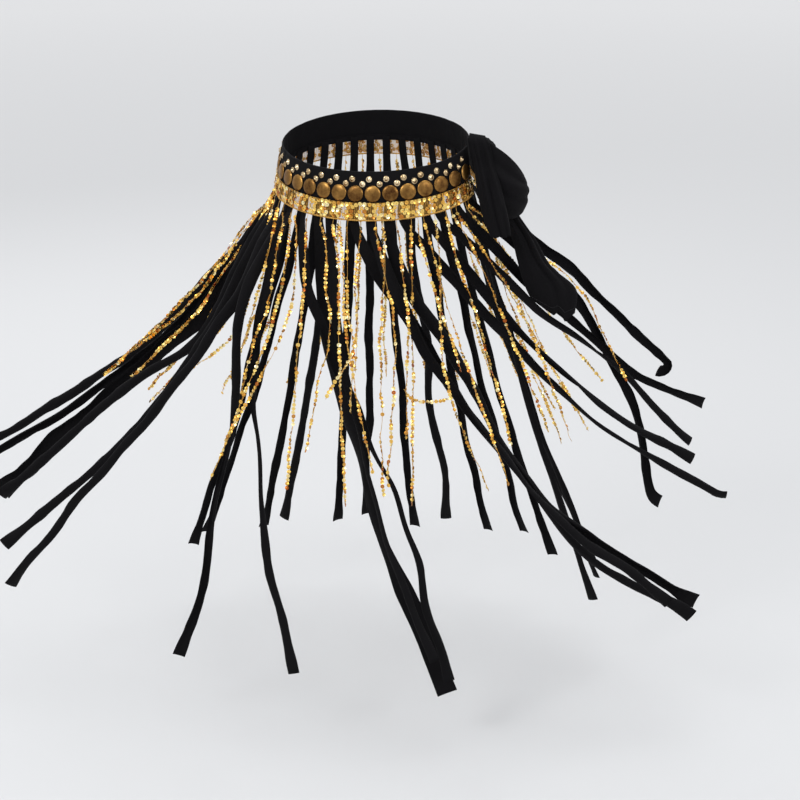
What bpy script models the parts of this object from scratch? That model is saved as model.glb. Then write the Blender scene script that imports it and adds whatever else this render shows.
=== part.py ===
import math

import bmesh
import bpy
import numpy as np
from mathutils import Matrix, Vector

# The mount is the middle of the hollow, level with the belt's half height at the sides.
# Front is -Y and the tied side is +X. Angles run from the front towards the tied side.

# The ring that the hips fill, measured on the belt's outer face.
TOP_HALF_WIDTH = 0.149
TOP_HALF_DEPTH = 0.110
FLARE = 0.0095
BELT_HEIGHT = 0.070
SIDE_TOP = 0.035
TILT = 0.028

# The band, its seams and its metal.
BAND_HEIGHT = 0.049
BAND_WALL = 0.003
SEAM_GAP = 0.0003
TRIM_TOP = 0.046
TRIM_WALL = 0.002
RING_START = -256.0
RING_END = 90.0
RING_STEPS = 76
DISC_COUNT = 29
DISC_PITCH = 0.0266
DISC_FIRST_ARC = 0.196
DISC_DOWN = 0.033
DISC_RADIUS = 0.0124
STUD_RADIUS = 0.0047
STUD_RISE = 0.0036
STUD_SIDES = 8

# The fringes.
STRIP_THICK = 0.0016
STRIP_ROOT_DOWN = 0.045
GOLD_RADIUS = 0.0024
CORD_RADIUS = 0.0016
TIE_WALL = 0.0024

# The fringe is laid out on a drawing grid, seen from the front left with the belt 3.2 m away.
# A place is across and down on that grid, and how much nearer than the mount it is, in mm.
VIEW_TURN = math.radians(20.0)
VIEW_RISE = math.radians(11.3)
VIEW_FAR = 3.2
GRID_REACH = 2051.0
GRID_MIDDLE = 400.0
LOOK_DOWN = math.radians(17.92)
LOOK_RIGHT = math.radians(0.7)

# Black strips that are drawn. Each row: root angle, width in mm, turn in degrees from root to end,
# then four places along it: knee, middle, low and end.
STRIPS = [
    # root, wide, turn, knee, middle, low, end
    (-101, 16, 60, (249, 236, -88), (178, 312, -122), (90, 383, -156), (-38, 456, -196)),
    (-94, 14, -60, (242, 252, -54), (170, 330, -84), (84, 398, -118), (-30, 466, -150)),
    (-86, 22, 50, (240, 266, -18), (168, 346, -46), (95, 406, -74), (2, 492, -96)),
    (-78, 15, 90, (246, 254, 4), (206, 330, -2), (125, 390, -24), (0, 497, -56)),
    (-70.5, 14, -90, (244, 268, 46), (196, 352, 40), (122, 444, 20), (4, 545, 0)),
    (-61, 14, 80, (246, 280, 96), (186, 372, 80), (116, 456, 66), (10, 584, 44)),
    (-52, 13, 200, (252, 282, 112), (238, 352, 124), (222, 490, 160), (181, 655, 190)),
    (-44, 12, -160, (271, 260, 114), (257, 352, 150), (261, 500, 206), (292, 674, 262)),
    (-31, 11, 180, (304, 256, 126), (325, 340, 170), (392, 490, 220), (450, 680, 280)),
    (-20, 20, -120, (326, 285, 122), (335, 350, 148), (374, 516, 200), (449, 694, 262)),
    (-13, 10, 130, (333, 272, 138), (340, 345, 190), (386, 540, 246), (434, 662, 304)),
    (3, 15, 150, (376, 268, 138), (438, 366, 172), (584, 551, 204), (692, 619, 210)),
    (12, 13, -100, (386, 268, 153), (414, 330, 184), (550, 508, 214), (672, 601, 250)),
    (23, 15, 170, (397, 262, 130), (458, 364, 150), (557, 512, 171), (694, 598, 174)),
    (31, 12, 140, (430, 253, 112), (490, 319, 112), (590, 418, 96), (724, 499, 70)),
    (46, 12, -140, (451, 251, 94), (512, 322, 90), (596, 400, 60), (693, 460, 0)),
    (54, 10, 120, (467, 243, 80), (530, 302, 80), (610, 364, 30), (692, 443, -60)),
    (70, 12, -90, (490, 244, 38), (556, 306, 8), (628, 369, -40), (703, 404, -120)),
    (86, 14, 80, (514, 240, 4), (582, 308, -20), (626, 392, -50), (655, 503, -90)),
    (106, 14, 100, (520, 230, -40), (572, 270, -84), (630, 328, -140), (672, 366, -210)),
]

# Strips at the back, hung plainly: root angle, how far the end swings round in degrees, flare of
# the hang as a share of its length, and length in mm.
BACK_STRIPS = [
    # root, swing, flare, length
    (118, 2, 0.27, 780),
    (128, -2, 0.31, 770),
    (138, 2, 0.36, 790),
    (148, -2, 0.31, 780),
    (158, 3, 0.36, 785),
    (168, -2, 0.31, 770),
    (178, 2, 0.35, 790),
    (188, -2, 0.30, 780),
    (198, 2, 0.35, 785),
    (208, -2, 0.31, 775),
    (218, 2, 0.36, 790),
    (228, -2, 0.32, 780),
    (239, 2, 0.37, 785),
    (250, -2, 0.33, 775),
]

# Gold strands that are drawn: root angle, then three places along each: upper, middle and end.
GOLD = [
    # root, upper, middle, end
    (-105, (253, 217, -84), (213, 268, -86), (118, 364, -102)),
    (-97.5, (246, 230, -62), (190, 302, -64), (104, 374, -84)),
    (-90, (249, 234, -32), (200, 308, -18), (130, 378, -36)),
    (-82, (252, 238, -6), (208, 322, -18), (148, 390, -24)),
    (-74, (256, 250, 26), (224, 322, 28), (150, 402, 14)),
    (-65.5, (262, 252, 52), (236, 330, 64), (184, 376, 66)),
    (-55, (269, 250, 116), (250, 320, 110), (231, 380, 118)),
    (-48, (281, 236, 114), (270, 290, 140), (240, 394, 170)),
    (-38.5, (289, 238, 122), (279, 300, 152), (211, 480, 206)),
    (-35, (297, 240, 132), (287, 320, 174), (226, 440, 224)),
    (-25.5, (306, 252, 142), (300, 330, 190), (287, 489, 252)),
    (-16.5, (326, 246, 150), (326, 350, 208), (303, 452, 248)),
    (-8.5, (338, 262, 156), (339, 352, 214), (345, 505, 270)),
    (-4, (342, 250, 166), (346, 330, 222), (372, 474, 286)),
    (0, (347, 262, 158), (351, 345, 204), (353, 410, 236)),
    (7.5, (357, 262, 170), (352, 350, 238), (326, 400, 264)),
    (15.5, (380, 250, 172), (394, 330, 214), (388, 488, 290)),
    (19, (385, 240, 152), (381, 340, 200), (383, 497, 262)),
    (27, (400, 246, 146), (408, 340, 200), (405, 438, 250)),
    (35.5, (411, 250, 136), (413, 350, 186), (412, 506, 240)),
    (39.5, (420, 240, 136), (438, 300, 168), (462, 372, 196)),
    (43, (434, 258, 130), (460, 345, 170), (510, 486, 252)),
    (50, (440, 268, 120), (446, 380, 204), (489, 492, 234)),
    (58, (457, 258, 110), (484, 340, 140), (512, 446, 190)),
    (62.5, (466, 236, 102), (500, 310, 130), (549, 432, 150)),
    (66.5, (476, 240, 90), (524, 318, 112), (572, 442, 132)),
    (76, (502, 248, 15), (550, 316, -20), (602, 380, -50)),
    (79.5, (514, 234, 18), (580, 291, 10), (626, 382, 36)),
]

# Gold strands at the back, hung plainly: root angle, swing in degrees, flare and length in mm.
BACK_GOLD = [
    # root, swing, flare, length
    (113.5, 6, 0.30, 450),
    (123, -2, 0.42, 460),
    (133, 2, 0.46, 455),
    (143, -2, 0.43, 470),
    (153, 2, 0.46, 460),
    (163, -2, 0.43, 450),
    (173, 2, 0.45, 465),
    (183, -1, 0.42, 455),
    (193, 2, 0.45, 470),
    (203, -1, 0.42, 450),
    (213, 2, 0.45, 460),
    (223, -2, 0.43, 465),
    (233.5, 2, 0.46, 450),
    (244.5, -2, 0.44, 460),
]

# The tie on the +X side. Each row is one section of the cloth: a place on its one edge,
# a place on its other edge, and how far its middle stands out between them, in mm.
LOOP = [
    # one edge, other edge, belly
    ((468, 141, 66), (475, 172, 66), 3),
    ((483, 140.5, 71), (481, 196, 70), 5),
    ((502, 151, 70), (495, 213, 68), 8),
    ((516, 164, 60), (511, 219, 60), 9),
    ((524, 177, 38), (523, 211, 40), 9),
    ((516, 172, 14), (516, 206, 16), 8),
    ((502, 160, 6), (502, 200, 6), 6),
    ((490, 152, 8), (490, 186, 8), 3),
]
SHORT_END = [
    ((470, 136.5, 57), (486, 137.5, 59), 0),
    ((469.5, 133.5, 65.5), (486, 134.5, 69.5), 0.5),
    ((469, 139, 73.5), (486, 140, 78.5), 1),
    ((471, 150, 75), (490, 152, 79.5), 3),
    ((474, 164, 76.8), (494, 166, 79.4), 3),
    ((476, 182, 84), (500, 184, 86), 4),
    ((479, 202, 88), (505, 202, 90), 4),
    ((484, 222, 92), (509, 220, 93), 3),
    ((491, 238, 94), (511, 236, 95), 2),
]
LONG_END = [
    ((481, 177.8, 36), (490, 177, 35), 2),
    ((487, 190, 34), (502, 188, 31), 3),
    ((494, 204, 36), (510, 202, 32), 4),
    ((503, 219, 42), (522, 219, 38), 5),
    ((511, 236, 46), (536, 238, 40), 6),
    ((517, 260, 50), (551, 264, 44), 7),
    ((524, 284, 54), (577, 290, 46), 6),
    ((533, 303, 56), (575, 315, 48), 4),
]
KNOT_PLACE = (484, 158, 42)
KNOT_HALF = (0.0223, 0.0308, 0.032)


def view_frame():
    """The eye, the way it looks, its right and its up, and the level way towards it."""
    right = Vector((math.cos(VIEW_TURN), math.sin(VIEW_TURN), 0))
    toward = Vector((math.sin(VIEW_TURN), -math.cos(VIEW_TURN), 0))
    up = Vector((0, 0, 1))
    eye = (toward * math.cos(VIEW_RISE) + up * math.sin(VIEW_RISE)) * VIEW_FAR
    level = -toward * math.cos(LOOK_RIGHT) + right * math.sin(LOOK_RIGHT)
    look = level * math.cos(LOOK_DOWN) - up * math.sin(LOOK_DOWN)
    side = look.cross(up).normalized()
    return eye, look, side, side.cross(look), toward


EYE, LOOK, SIDE, OVER, TOWARD = view_frame()


def drawn(place):
    """The point in metres of a place on the drawing grid."""
    across, down, nearer = place
    ray = LOOK * GRID_REACH + SIDE * (across - GRID_MIDDLE) - OVER * (down - GRID_MIDDLE)
    reach = (nearer / 1000 - EYE.dot(TOWARD)) / ray.dot(TOWARD)
    return np.array(EYE + ray * reach)


def skin(deg, down, out):
    """Points on the belt: an angle, how far below its top edge, and how far outside its face."""
    turn = np.radians(deg)
    half_width = TOP_HALF_WIDTH + FLARE * down / BELT_HEIGHT
    half_depth = TOP_HALF_DEPTH + FLARE * down / BELT_HEIGHT
    normal_x = half_depth * np.sin(turn)
    normal_y = -half_width * np.cos(turn)
    size = np.hypot(normal_x, normal_y)
    x = half_width * np.sin(turn) + out * normal_x / size
    y = -half_depth * np.cos(turn) + out * normal_y / size
    z = SIDE_TOP - TILT * np.cos(turn) - down
    return np.stack(np.broadcast_arrays(x, y, z), axis=-1)


def deg_at(arc, down):
    """The angle that lies an arc length round the belt from its centre front."""
    degs = np.linspace(-300.0, 120.0, 4201)
    path = skin(degs, down, 0.0)
    steps = np.linalg.norm(np.diff(path, axis=0), axis=1)
    length = np.concatenate([[0.0], np.cumsum(steps)])
    length -= np.interp(0.0, degs, length)
    return float(np.interp(arc, length, degs))


def smooth_path(points, count, kept=0):
    """A curve through the given points, as evenly spaced points. The first few may be kept as given."""
    points = np.asarray(points, float)
    chord = np.sqrt(np.linalg.norm(np.diff(points, axis=0), axis=1))
    knots = np.concatenate([[0.0], np.cumsum(chord)])
    slopes = np.gradient(points, knots, axis=0)
    dense = []
    for i in range(len(points) - 1):
        span = knots[i + 1] - knots[i]
        t = np.linspace(0.0, 1.0, 40)[:, None]
        part = (
            (2 * t**3 - 3 * t**2 + 1) * points[i]
            + (t**3 - 2 * t**2 + t) * span * slopes[i]
            + (3 * t**2 - 2 * t**3) * points[i + 1]
            + (t**3 - t**2) * span * slopes[i + 1]
        )
        dense.append(part if i == 0 else part[1:])
    dense = np.concatenate(dense[kept:])
    far = np.concatenate([[0.0], np.cumsum(np.linalg.norm(np.diff(dense, axis=0), axis=1))])
    wanted = np.linspace(0.0, far[-1], count - kept)
    spread = np.stack([np.interp(wanted, far, dense[:, k]) for k in range(3)], axis=1)
    return np.concatenate([points[:kept], spread])


def unit(v):
    return v / np.maximum(np.linalg.norm(v, axis=-1, keepdims=True), 1e-12)


def hanging(root, deg, swing, flare, length, count):
    """A strand that hangs plainly from a root at an angle, standing off as it goes down."""
    share = np.linspace(0.0, 1.0, count)
    turn = np.radians(deg + swing * share)
    out = np.stack([np.sin(turn) * 1.15, -np.cos(turn), np.zeros(count)], axis=1)
    along = length / 1000 / math.hypot(1.0, flare)
    bend = flare * along * (share * 0.75 + share**2 * 0.25)
    path = np.array(root)[None, :] + out * bend[:, None]
    path[:, 2] -= along * share
    return path


def strip_paths():
    """Centre line, width and turn of every black strip, roots first."""
    made = []
    for root, wide, turn, knee, middle, low, end in STRIPS:
        head = skin(root, STRIP_ROOT_DOWN, -BAND_WALL - 0.0017)
        hem = skin(root, BELT_HEIGHT + 0.006, -BAND_WALL - 0.0012)
        places = [head, hem, drawn(knee), drawn(middle), drawn(low), drawn(end)]
        made.append((smooth_path(places, 14, 1), wide / 1000, turn, True))
    for k, (root, swing, flare, length) in enumerate(BACK_STRIPS):
        head = skin(root, STRIP_ROOT_DOWN, -BAND_WALL - 0.0017)
        hem = skin(root, BELT_HEIGHT + 0.006, -BAND_WALL - 0.0012)
        path = hanging(hem, root, swing, flare, length - 31, 7)
        made.append((smooth_path([head, *path], 10, 1), 0.014, 50 * (-1) ** k, False))
    return made


def gold_paths():
    """Centre line of every gold strand, roots first."""
    made = []
    for root, upper, middle, end in GOLD:
        head = skin(root, BELT_HEIGHT + 0.0028, 0.0014)
        neck = skin(root, BELT_HEIGHT + 0.012, 0.0035)
        made.append(smooth_path([head, neck, drawn(upper), drawn(middle), drawn(end)], 10, 1))
    for root, swing, flare, length in BACK_GOLD:
        head = skin(root, BELT_HEIGHT + 0.0028, 0.0014)
        neck = skin(root, BELT_HEIGHT + 0.012, 0.0035)
        path = hanging(neck, root, swing, flare, length, 6)
        made.append(smooth_path([head, *path], 7, 1))
    return made


def strip_sections(path, wide, turn, drawn_strip=True):
    """Flat four-cornered sections along a strip: it lies on the hips and turns towards its end.

    A drawn strip swings its flat side round to the drawing grid on its first 12 cm.
    """
    ahead = unit(np.gradient(path, axis=0))
    far = np.concatenate([[0.0], np.cumsum(np.linalg.norm(np.diff(path, axis=0), axis=1))])
    faced = np.clip((far - 0.035) / 0.085, 0.0, 1.0)[:, None] * drawn_strip
    out = unit(path * np.array([1.0, 1.8, 0.0])) * (1 - faced) + np.array(TOWARD) * faced
    out = unit(out - (out * ahead).sum(axis=1, keepdims=True) * ahead)
    side = np.cross(ahead, out)
    share = np.linspace(0.0, 1.0, len(path))
    angle = np.radians(turn) * np.clip((share - 0.3) / 0.7, 0.0, 1.0)
    wide_way = side * np.cos(angle)[:, None] + out * np.sin(angle)[:, None]
    thick_way = np.cross(ahead, wide_way)
    grow = 0.5 * wide * (0.75 + 0.35 * np.clip((share - 0.85) / 0.15, 0.0, 1.0))
    grow = 0.0038 + (grow - 0.0038) * np.clip((far - 0.060) / 0.140, 0.0, 1.0)
    half_w = wide_way * grow[:, None]
    half_t = thick_way * (0.5 * STRIP_THICK)
    corners = [
        path - half_w - half_t,
        path + half_w - half_t,
        path + half_w + half_t,
        path - half_w + half_t,
    ]
    return np.stack(corners, axis=1)


def round_sections(path, radius, sides):
    """Regular sections along a path, kept from turning."""
    ahead = unit(np.gradient(path, axis=0))
    out = path * np.array([1.0, 1.8, 0.0])
    out = unit(out - (out * ahead).sum(axis=1, keepdims=True) * ahead)
    side = np.cross(ahead, out)
    turns = np.arange(sides) * 2 * np.pi / sides
    rings = [path + radius * (np.cos(a) * out + np.sin(a) * side) for a in turns]
    return np.stack(rings, axis=1)


def loft_into(shape, rings):
    """Adds one closed body through the given sections, with flat ends, to a bmesh.

    The sections of a strip narrow, turn and flare on the way, and those of a hoop tilt with the
    belt, so no single bevel along a curve gives them.
    """
    rows = [[shape.verts.new(tuple(p)) for p in ring] for ring in rings]
    count = len(rows[0])
    faces = []
    for a, b in zip(rows, rows[1:]):
        for k in range(count):
            faces.append(shape.faces.new((a[k], a[(k + 1) % count], b[(k + 1) % count], b[k])))
    faces.append(shape.faces.new(rows[0][::-1]))
    faces.append(shape.faces.new(rows[-1]))
    return faces


def material(name, colour, metallic, roughness):
    made = bpy.data.materials.new(name)
    made.use_nodes = True
    socket = made.node_tree.nodes["Principled BSDF"].inputs
    socket["Base Color"].default_value = (*colour, 1.0)
    socket["Metallic"].default_value = metallic
    socket["Roughness"].default_value = roughness
    made.diffuse_color = (*colour, 1.0)
    return made


def keep(shape, name, surface, where, smooth=False):
    """Turns a bmesh into a named object with its faces outward."""
    bmesh.ops.recalc_face_normals(shape, faces=shape.faces)
    mesh = bpy.data.meshes.new(name)
    shape.to_mesh(mesh)
    shape.free()
    if smooth:
        mesh.shade_smooth()
    obj = bpy.data.objects.new(name, mesh)
    mesh.materials.append(surface)
    where.objects.link(obj)
    return obj


def hoop(name, start, end, steps, profile, surface, where):
    """A wall round the hips: its profile, as (down, out) corners, carried from angle to angle."""
    degs = np.linspace(start, end, steps)
    rings = [np.stack([skin(d, down, out) for down, out in profile]) for d in degs]
    shape = bmesh.new()
    loft_into(shape, rings)
    return keep(shape, name, surface, where)


def join_to(base, tool):
    """Fuses an object of the helpers' collection into the base, live."""
    fuse = base.modifiers.new(tool.name, "BOOLEAN")
    fuse.operation = "UNION"
    fuse.solver = "EXACT"
    fuse.object = tool


def disc_place(arc, down, out):
    """Where a disc or stud sits: its matrix, with Z straight out of the band."""
    deg = deg_at(arc, DISC_DOWN)
    point = skin(deg, down, out)
    out_way = skin(deg, down, out + 0.001) - point
    below = skin(deg, down + 0.001, out) - point
    z = Vector(unit(np.cross(np.cross(below, out_way), below)))
    if z.dot(Vector(out_way)) < 0:
        z = -z
    y = -Vector(unit(below))
    x = y.cross(z)
    frame = Matrix((x, y, z)).transposed().to_4x4()
    frame.translation = Vector(point)
    return frame


def sheet_between(rows, count, across, side):
    """A grid of points through sections of cloth, each from one edge to the other."""
    one = smooth_path([drawn(row[0]) for row in rows], count)
    other = smooth_path([drawn(row[1]) for row in rows], count)
    belly = np.interp(np.linspace(0, len(rows) - 1, count), range(len(rows)), [row[2] for row in rows])
    share = np.linspace(0.0, 1.0, across)[None, :, None]
    grid = one[:, None, :] * (1 - share) + other[:, None, :] * share
    along = np.gradient(grid, axis=0)
    over = np.gradient(grid, axis=1)
    out = unit(np.cross(along, over))
    bow = np.sin(np.pi * share) * belly[:, None, None] / 1000
    return grid + out * bow * side


def cloth(name, grid, surface, where):
    """A sheet of cloth from its grid of points, thickened by a live Solidify."""
    rows, columns = grid.shape[:2]
    shape = bmesh.new()
    verts = [[shape.verts.new(tuple(p)) for p in row] for row in grid]
    for i in range(rows - 1):
        for k in range(columns - 1):
            shape.faces.new((verts[i][k], verts[i][k + 1], verts[i + 1][k + 1], verts[i + 1][k]))
    obj = keep(shape, name, surface, where, smooth=True)
    wall = obj.modifiers.new("cloth", "SOLIDIFY")
    wall.thickness = TIE_WALL
    wall.offset = 0.0
    wall.use_even_offset = False
    return obj


def clear_scene():
    for old in list(bpy.data.objects):
        bpy.data.objects.remove(old, do_unlink=True)


def build():
    clear_scene()
    scene = bpy.context.scene
    belt = bpy.data.collections.new("hip_belt")
    helpers = bpy.data.collections.new("helpers")
    scene.collection.children.link(belt)
    scene.collection.children.link(helpers)

    black = material("black_jersey", (0.012, 0.012, 0.013), 0.0, 0.9)
    gold = material("gold_sequins", (0.75, 0.50, 0.15), 0.9, 0.3)
    brass = material("antique_brass", (0.33, 0.24, 0.13), 0.9, 0.4)

    # The band: one wall of jersey round the hips, its ends under the tie.
    face = [(0.0, 0.0), (0.0245, 0.0), (BAND_HEIGHT, 0.0)]
    back = [(BAND_HEIGHT, -BAND_WALL), (0.0245, -BAND_WALL), (0.0, -BAND_WALL)]
    band = hoop("band", RING_START, RING_END, RING_STEPS, face + back, black, belt)

    # Two cone studs for each disc, raised on the band's face.
    cones = bmesh.new()
    for k in range(DISC_COUNT):
        arc = DISC_FIRST_ARC - k * DISC_PITCH
        for shift, down in ((-0.006, 0.0115), (0.0105, 0.0188)):
            if arc + shift > 0.2008:
                continue
            frame = disc_place(arc + shift, down, STUD_RISE / 2 - 0.0009)
            bmesh.ops.create_cone(
                cones,
                cap_ends=True,
                segments=STUD_SIDES,
                radius1=STUD_RADIUS,
                radius2=0.0010,
                depth=STUD_RISE + 0.0018,
                matrix=frame,
            )
    studs = keep(cones, "cone_studs", brass, helpers)
    studs.hide_render = True
    studs.display_type = "WIRE"
    join_to(band, studs)

    # The gold trim hangs from the band's lower edge, over it by 5 mm.
    trim_out = SEAM_GAP + TRIM_WALL
    trim_face = [(TRIM_TOP, trim_out), (0.057, trim_out), (BELT_HEIGHT, trim_out)]
    trim_back = [(BELT_HEIGHT, SEAM_GAP), (0.057, SEAM_GAP), (TRIM_TOP, SEAM_GAP)]
    hoop("sequin_trim", RING_START, RING_END, RING_STEPS, trim_face + trim_back, gold, belt)

    # A row of low domed discs between the studs and the trim.
    dome = [(0.0, 0.0034), (0.0075, 0.0028), (DISC_RADIUS, 0.0009), (DISC_RADIUS, 0.0), (0.0, 0.0)]
    for k in range(DISC_COUNT):
        name = f"disc_{k + 1:02d}"
        mesh = bpy.data.meshes.new(name)
        mesh.from_pydata([(r, 0.0, h) for r, h in dome], [(i, i + 1) for i in range(len(dome) - 1)], [])
        mesh.materials.append(brass)
        disc = bpy.data.objects.new(name, mesh)
        belt.objects.link(disc)
        spin = disc.modifiers.new("turned", "SCREW")
        spin.steps = 14
        spin.render_steps = 14
        spin.use_merge_vertices = True
        spin.merge_threshold = 0.00001
        spin.use_smooth_shade = True
        disc.matrix_world = disc_place(DISC_FIRST_ARC - k * DISC_PITCH, DISC_DOWN, SEAM_GAP + 0.0001)

    # The gold fringe: a thin cord under the trim, with the strands' heads fused into it.
    cord_mid = (BELT_HEIGHT + 2 * SEAM_GAP + CORD_RADIUS, 0.0013)
    corners = [
        (cord_mid[0] + CORD_RADIUS * math.sin(a), cord_mid[1] + CORD_RADIUS * math.cos(a))
        for a in [k * math.pi / 3 for k in range(6)]
    ]
    cord = hoop("gold_fringe", RING_START, RING_END, RING_STEPS, corners, gold, belt)
    strands = bmesh.new()
    for path in gold_paths():
        loft_into(strands, round_sections(path, GOLD_RADIUS, 3))
    strands_obj = keep(strands, "gold_strands", gold, helpers)
    strands_obj.hide_render = True
    strands_obj.display_type = "WIRE"
    join_to(cord, strands_obj)

    # The strip fringe: long jersey strips, their heads fused into a tape inside the band.
    tape = [
        (0.0400, -BAND_WALL - SEAM_GAP),
        (0.0490, -BAND_WALL - SEAM_GAP),
        (0.0490, -BAND_WALL - SEAM_GAP - 0.0016),
        (0.0400, -BAND_WALL - SEAM_GAP - 0.0016),
    ]
    tape_obj = hoop("strip_fringe", RING_START, RING_END, RING_STEPS, tape, black, belt)
    strips = bmesh.new()
    for path, wide, turn, drawn_strip in strip_paths():
        loft_into(strips, strip_sections(path, wide, turn, drawn_strip))
    strips_obj = keep(strips, "black_strips", black, helpers)
    strips_obj.hide_render = True
    strips_obj.display_type = "WIRE"
    join_to(tape_obj, strips_obj)

    # The tie: a knot, a drooping loop, and a short and a long end.
    ball = bmesh.new()
    bmesh.ops.create_uvsphere(ball, u_segments=18, v_segments=11, radius=1.0)
    knot_mid = drawn(KNOT_PLACE)
    for v in ball.verts:
        v.co = Vector((v.co.x * KNOT_HALF[0], v.co.y * KNOT_HALF[1], v.co.z * KNOT_HALF[2]))
    knot = keep(ball, "tie_knot", black, belt, smooth=True)
    knot.location = Vector(knot_mid)
    cloth("tie_loop", sheet_between(LOOP, 24, 7, -1.0), black, belt)
    cloth("tie_end_short", sheet_between(SHORT_END, 18, 6, 1.0), black, belt)
    cloth("tie_end_long", sheet_between(LONG_END, 14, 7, 1.0), black, belt)


build()
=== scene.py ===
# %% [markdown]
# # A belly dance hip belt in Blender
# The belt is a black jersey band worn low on the hips. It carries brass discs, cone studs and a
# gold sequin trim, and two fringes swing from it: sequin strands and long jersey strips. The
# frame brings in the plain solids; every cell below dresses one part of them.

# %% The frame and its parts
import math

import bpy
import numpy as np
from mathutils import Matrix, Vector


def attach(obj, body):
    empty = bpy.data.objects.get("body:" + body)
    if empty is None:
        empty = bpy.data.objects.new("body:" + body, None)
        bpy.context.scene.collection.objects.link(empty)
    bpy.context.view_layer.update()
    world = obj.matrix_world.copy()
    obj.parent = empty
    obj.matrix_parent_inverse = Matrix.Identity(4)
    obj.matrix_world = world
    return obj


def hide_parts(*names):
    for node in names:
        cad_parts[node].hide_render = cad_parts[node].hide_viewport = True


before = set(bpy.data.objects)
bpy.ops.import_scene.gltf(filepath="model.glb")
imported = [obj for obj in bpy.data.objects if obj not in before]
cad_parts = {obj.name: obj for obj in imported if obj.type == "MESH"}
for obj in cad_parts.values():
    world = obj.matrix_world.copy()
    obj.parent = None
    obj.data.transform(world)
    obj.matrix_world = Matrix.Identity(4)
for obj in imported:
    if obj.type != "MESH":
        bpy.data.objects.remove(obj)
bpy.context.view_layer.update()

# %% [markdown]
# ## The eye
# The view is set first, because the flying strands were laid out on a drawing grid seen from
# it: a camera 3.2 m away, 20 degrees round to the front left and a little above the belt. A
# long lens keeps the small metal pieces round.

# %% The camera on the drawing grid
VIEW_TURN = math.radians(20.0)
VIEW_RISE = math.radians(11.3)
VIEW_FAR = 3.2
GRID_REACH = 2051.0
GRID_MIDDLE = 400.0
LOOK_DOWN = math.radians(17.92)
LOOK_RIGHT = math.radians(0.7)


def view_frame():
    """The eye, the way it looks, its right and its up, and the level way towards it."""
    right = Vector((math.cos(VIEW_TURN), math.sin(VIEW_TURN), 0))
    toward = Vector((math.sin(VIEW_TURN), -math.cos(VIEW_TURN), 0))
    up = Vector((0, 0, 1))
    eye = (toward * math.cos(VIEW_RISE) + up * math.sin(VIEW_RISE)) * VIEW_FAR
    level = -toward * math.cos(LOOK_RIGHT) + right * math.sin(LOOK_RIGHT)
    look = level * math.cos(LOOK_DOWN) - up * math.sin(LOOK_DOWN)
    side = look.cross(up).normalized()
    return eye, look, side, side.cross(look), toward


EYE, LOOK, SIDE, OVER, TOWARD = view_frame()
lens = bpy.data.cameras.new("view")
lens.sensor_width = 36.0
lens.lens = 36.0 * GRID_REACH / (2 * GRID_MIDDLE)
camera = bpy.data.objects.new("view", lens)
bpy.context.scene.collection.objects.link(camera)
camera.matrix_world = Matrix((SIDE, OVER, -LOOK)).transposed().to_4x4()
camera.location = EYE
bpy.context.scene.camera = camera
print("lens", round(lens.lens, 1), "mm, eye at", [round(v, 3) for v in EYE])

# %% [markdown]
# ## Floor and light
# Metal shows what stands around it, so the light is made of large soft boxes over a pale floor,
# with a duller ring at eye height: gold then has bright and dark parts to show. The sky's
# brightness follows the height of the direction, worked out in the world's own nodes.

# %% A pale floor and a soft sky
FLOOR = -0.868
PAPER_NEAR = (0.600, 0.605, 0.612, 1)
PAPER_FAR = (0.80, 0.80, 0.80, 1)


def blend_colours(tree, share, one, other):
    """A colour between two, by a share; each is a socket or four numbers."""
    made = tree.nodes.new("ShaderNodeMix")
    made.data_type = "RGBA"
    tree.links.new(share, made.inputs["Factor"])
    for label, value in (("A", one), ("B", other)):
        socket = [s for s in made.inputs if s.name == label and s.type == "RGBA"][0]
        if isinstance(value, tuple):
            socket.default_value = value
        else:
            tree.links.new(value, socket)
    return [s for s in made.outputs if s.type == "RGBA"][0]


def pale_floor():
    """A flat square under the belt, 60 m wide, so that it fills the view to its top.

    Its paper is paler far off, where the soft boxes reach it less, to stay evenly bright.
    """
    corners = np.array([(-30, -30, FLOOR), (30, -30, FLOOR), (30, 30, FLOOR), (-30, 30, FLOOR)], float)
    mesh = bpy.data.meshes.new("floor")
    mesh.from_pydata(corners.tolist(), [], [(0, 1, 2, 3)])
    paint = bpy.data.materials.new("pale_floor")
    paint.use_nodes = True
    tree = paint.node_tree
    shader = tree.nodes["Principled BSDF"].inputs
    place = tree.nodes.new("ShaderNodeTexCoord")
    far = tree.nodes.new("ShaderNodeVectorMath")
    far.operation = "LENGTH"
    tree.links.new(place.outputs["Object"], far.inputs[0])
    share = tree.nodes.new("ShaderNodeMapRange")
    share.inputs["From Min"].default_value = 1.5
    share.inputs["From Max"].default_value = 9.0
    tree.links.new(far.outputs["Value"], share.inputs["Value"])
    tone = blend_colours(tree, share.outputs["Result"], PAPER_NEAR, PAPER_FAR)
    tree.links.new(tone, shader["Base Color"])
    shader["Roughness"].default_value = 0.75
    mesh.materials.append(paint)
    floor = bpy.data.objects.new("floor", mesh)
    bpy.context.scene.collection.objects.link(floor)


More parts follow.
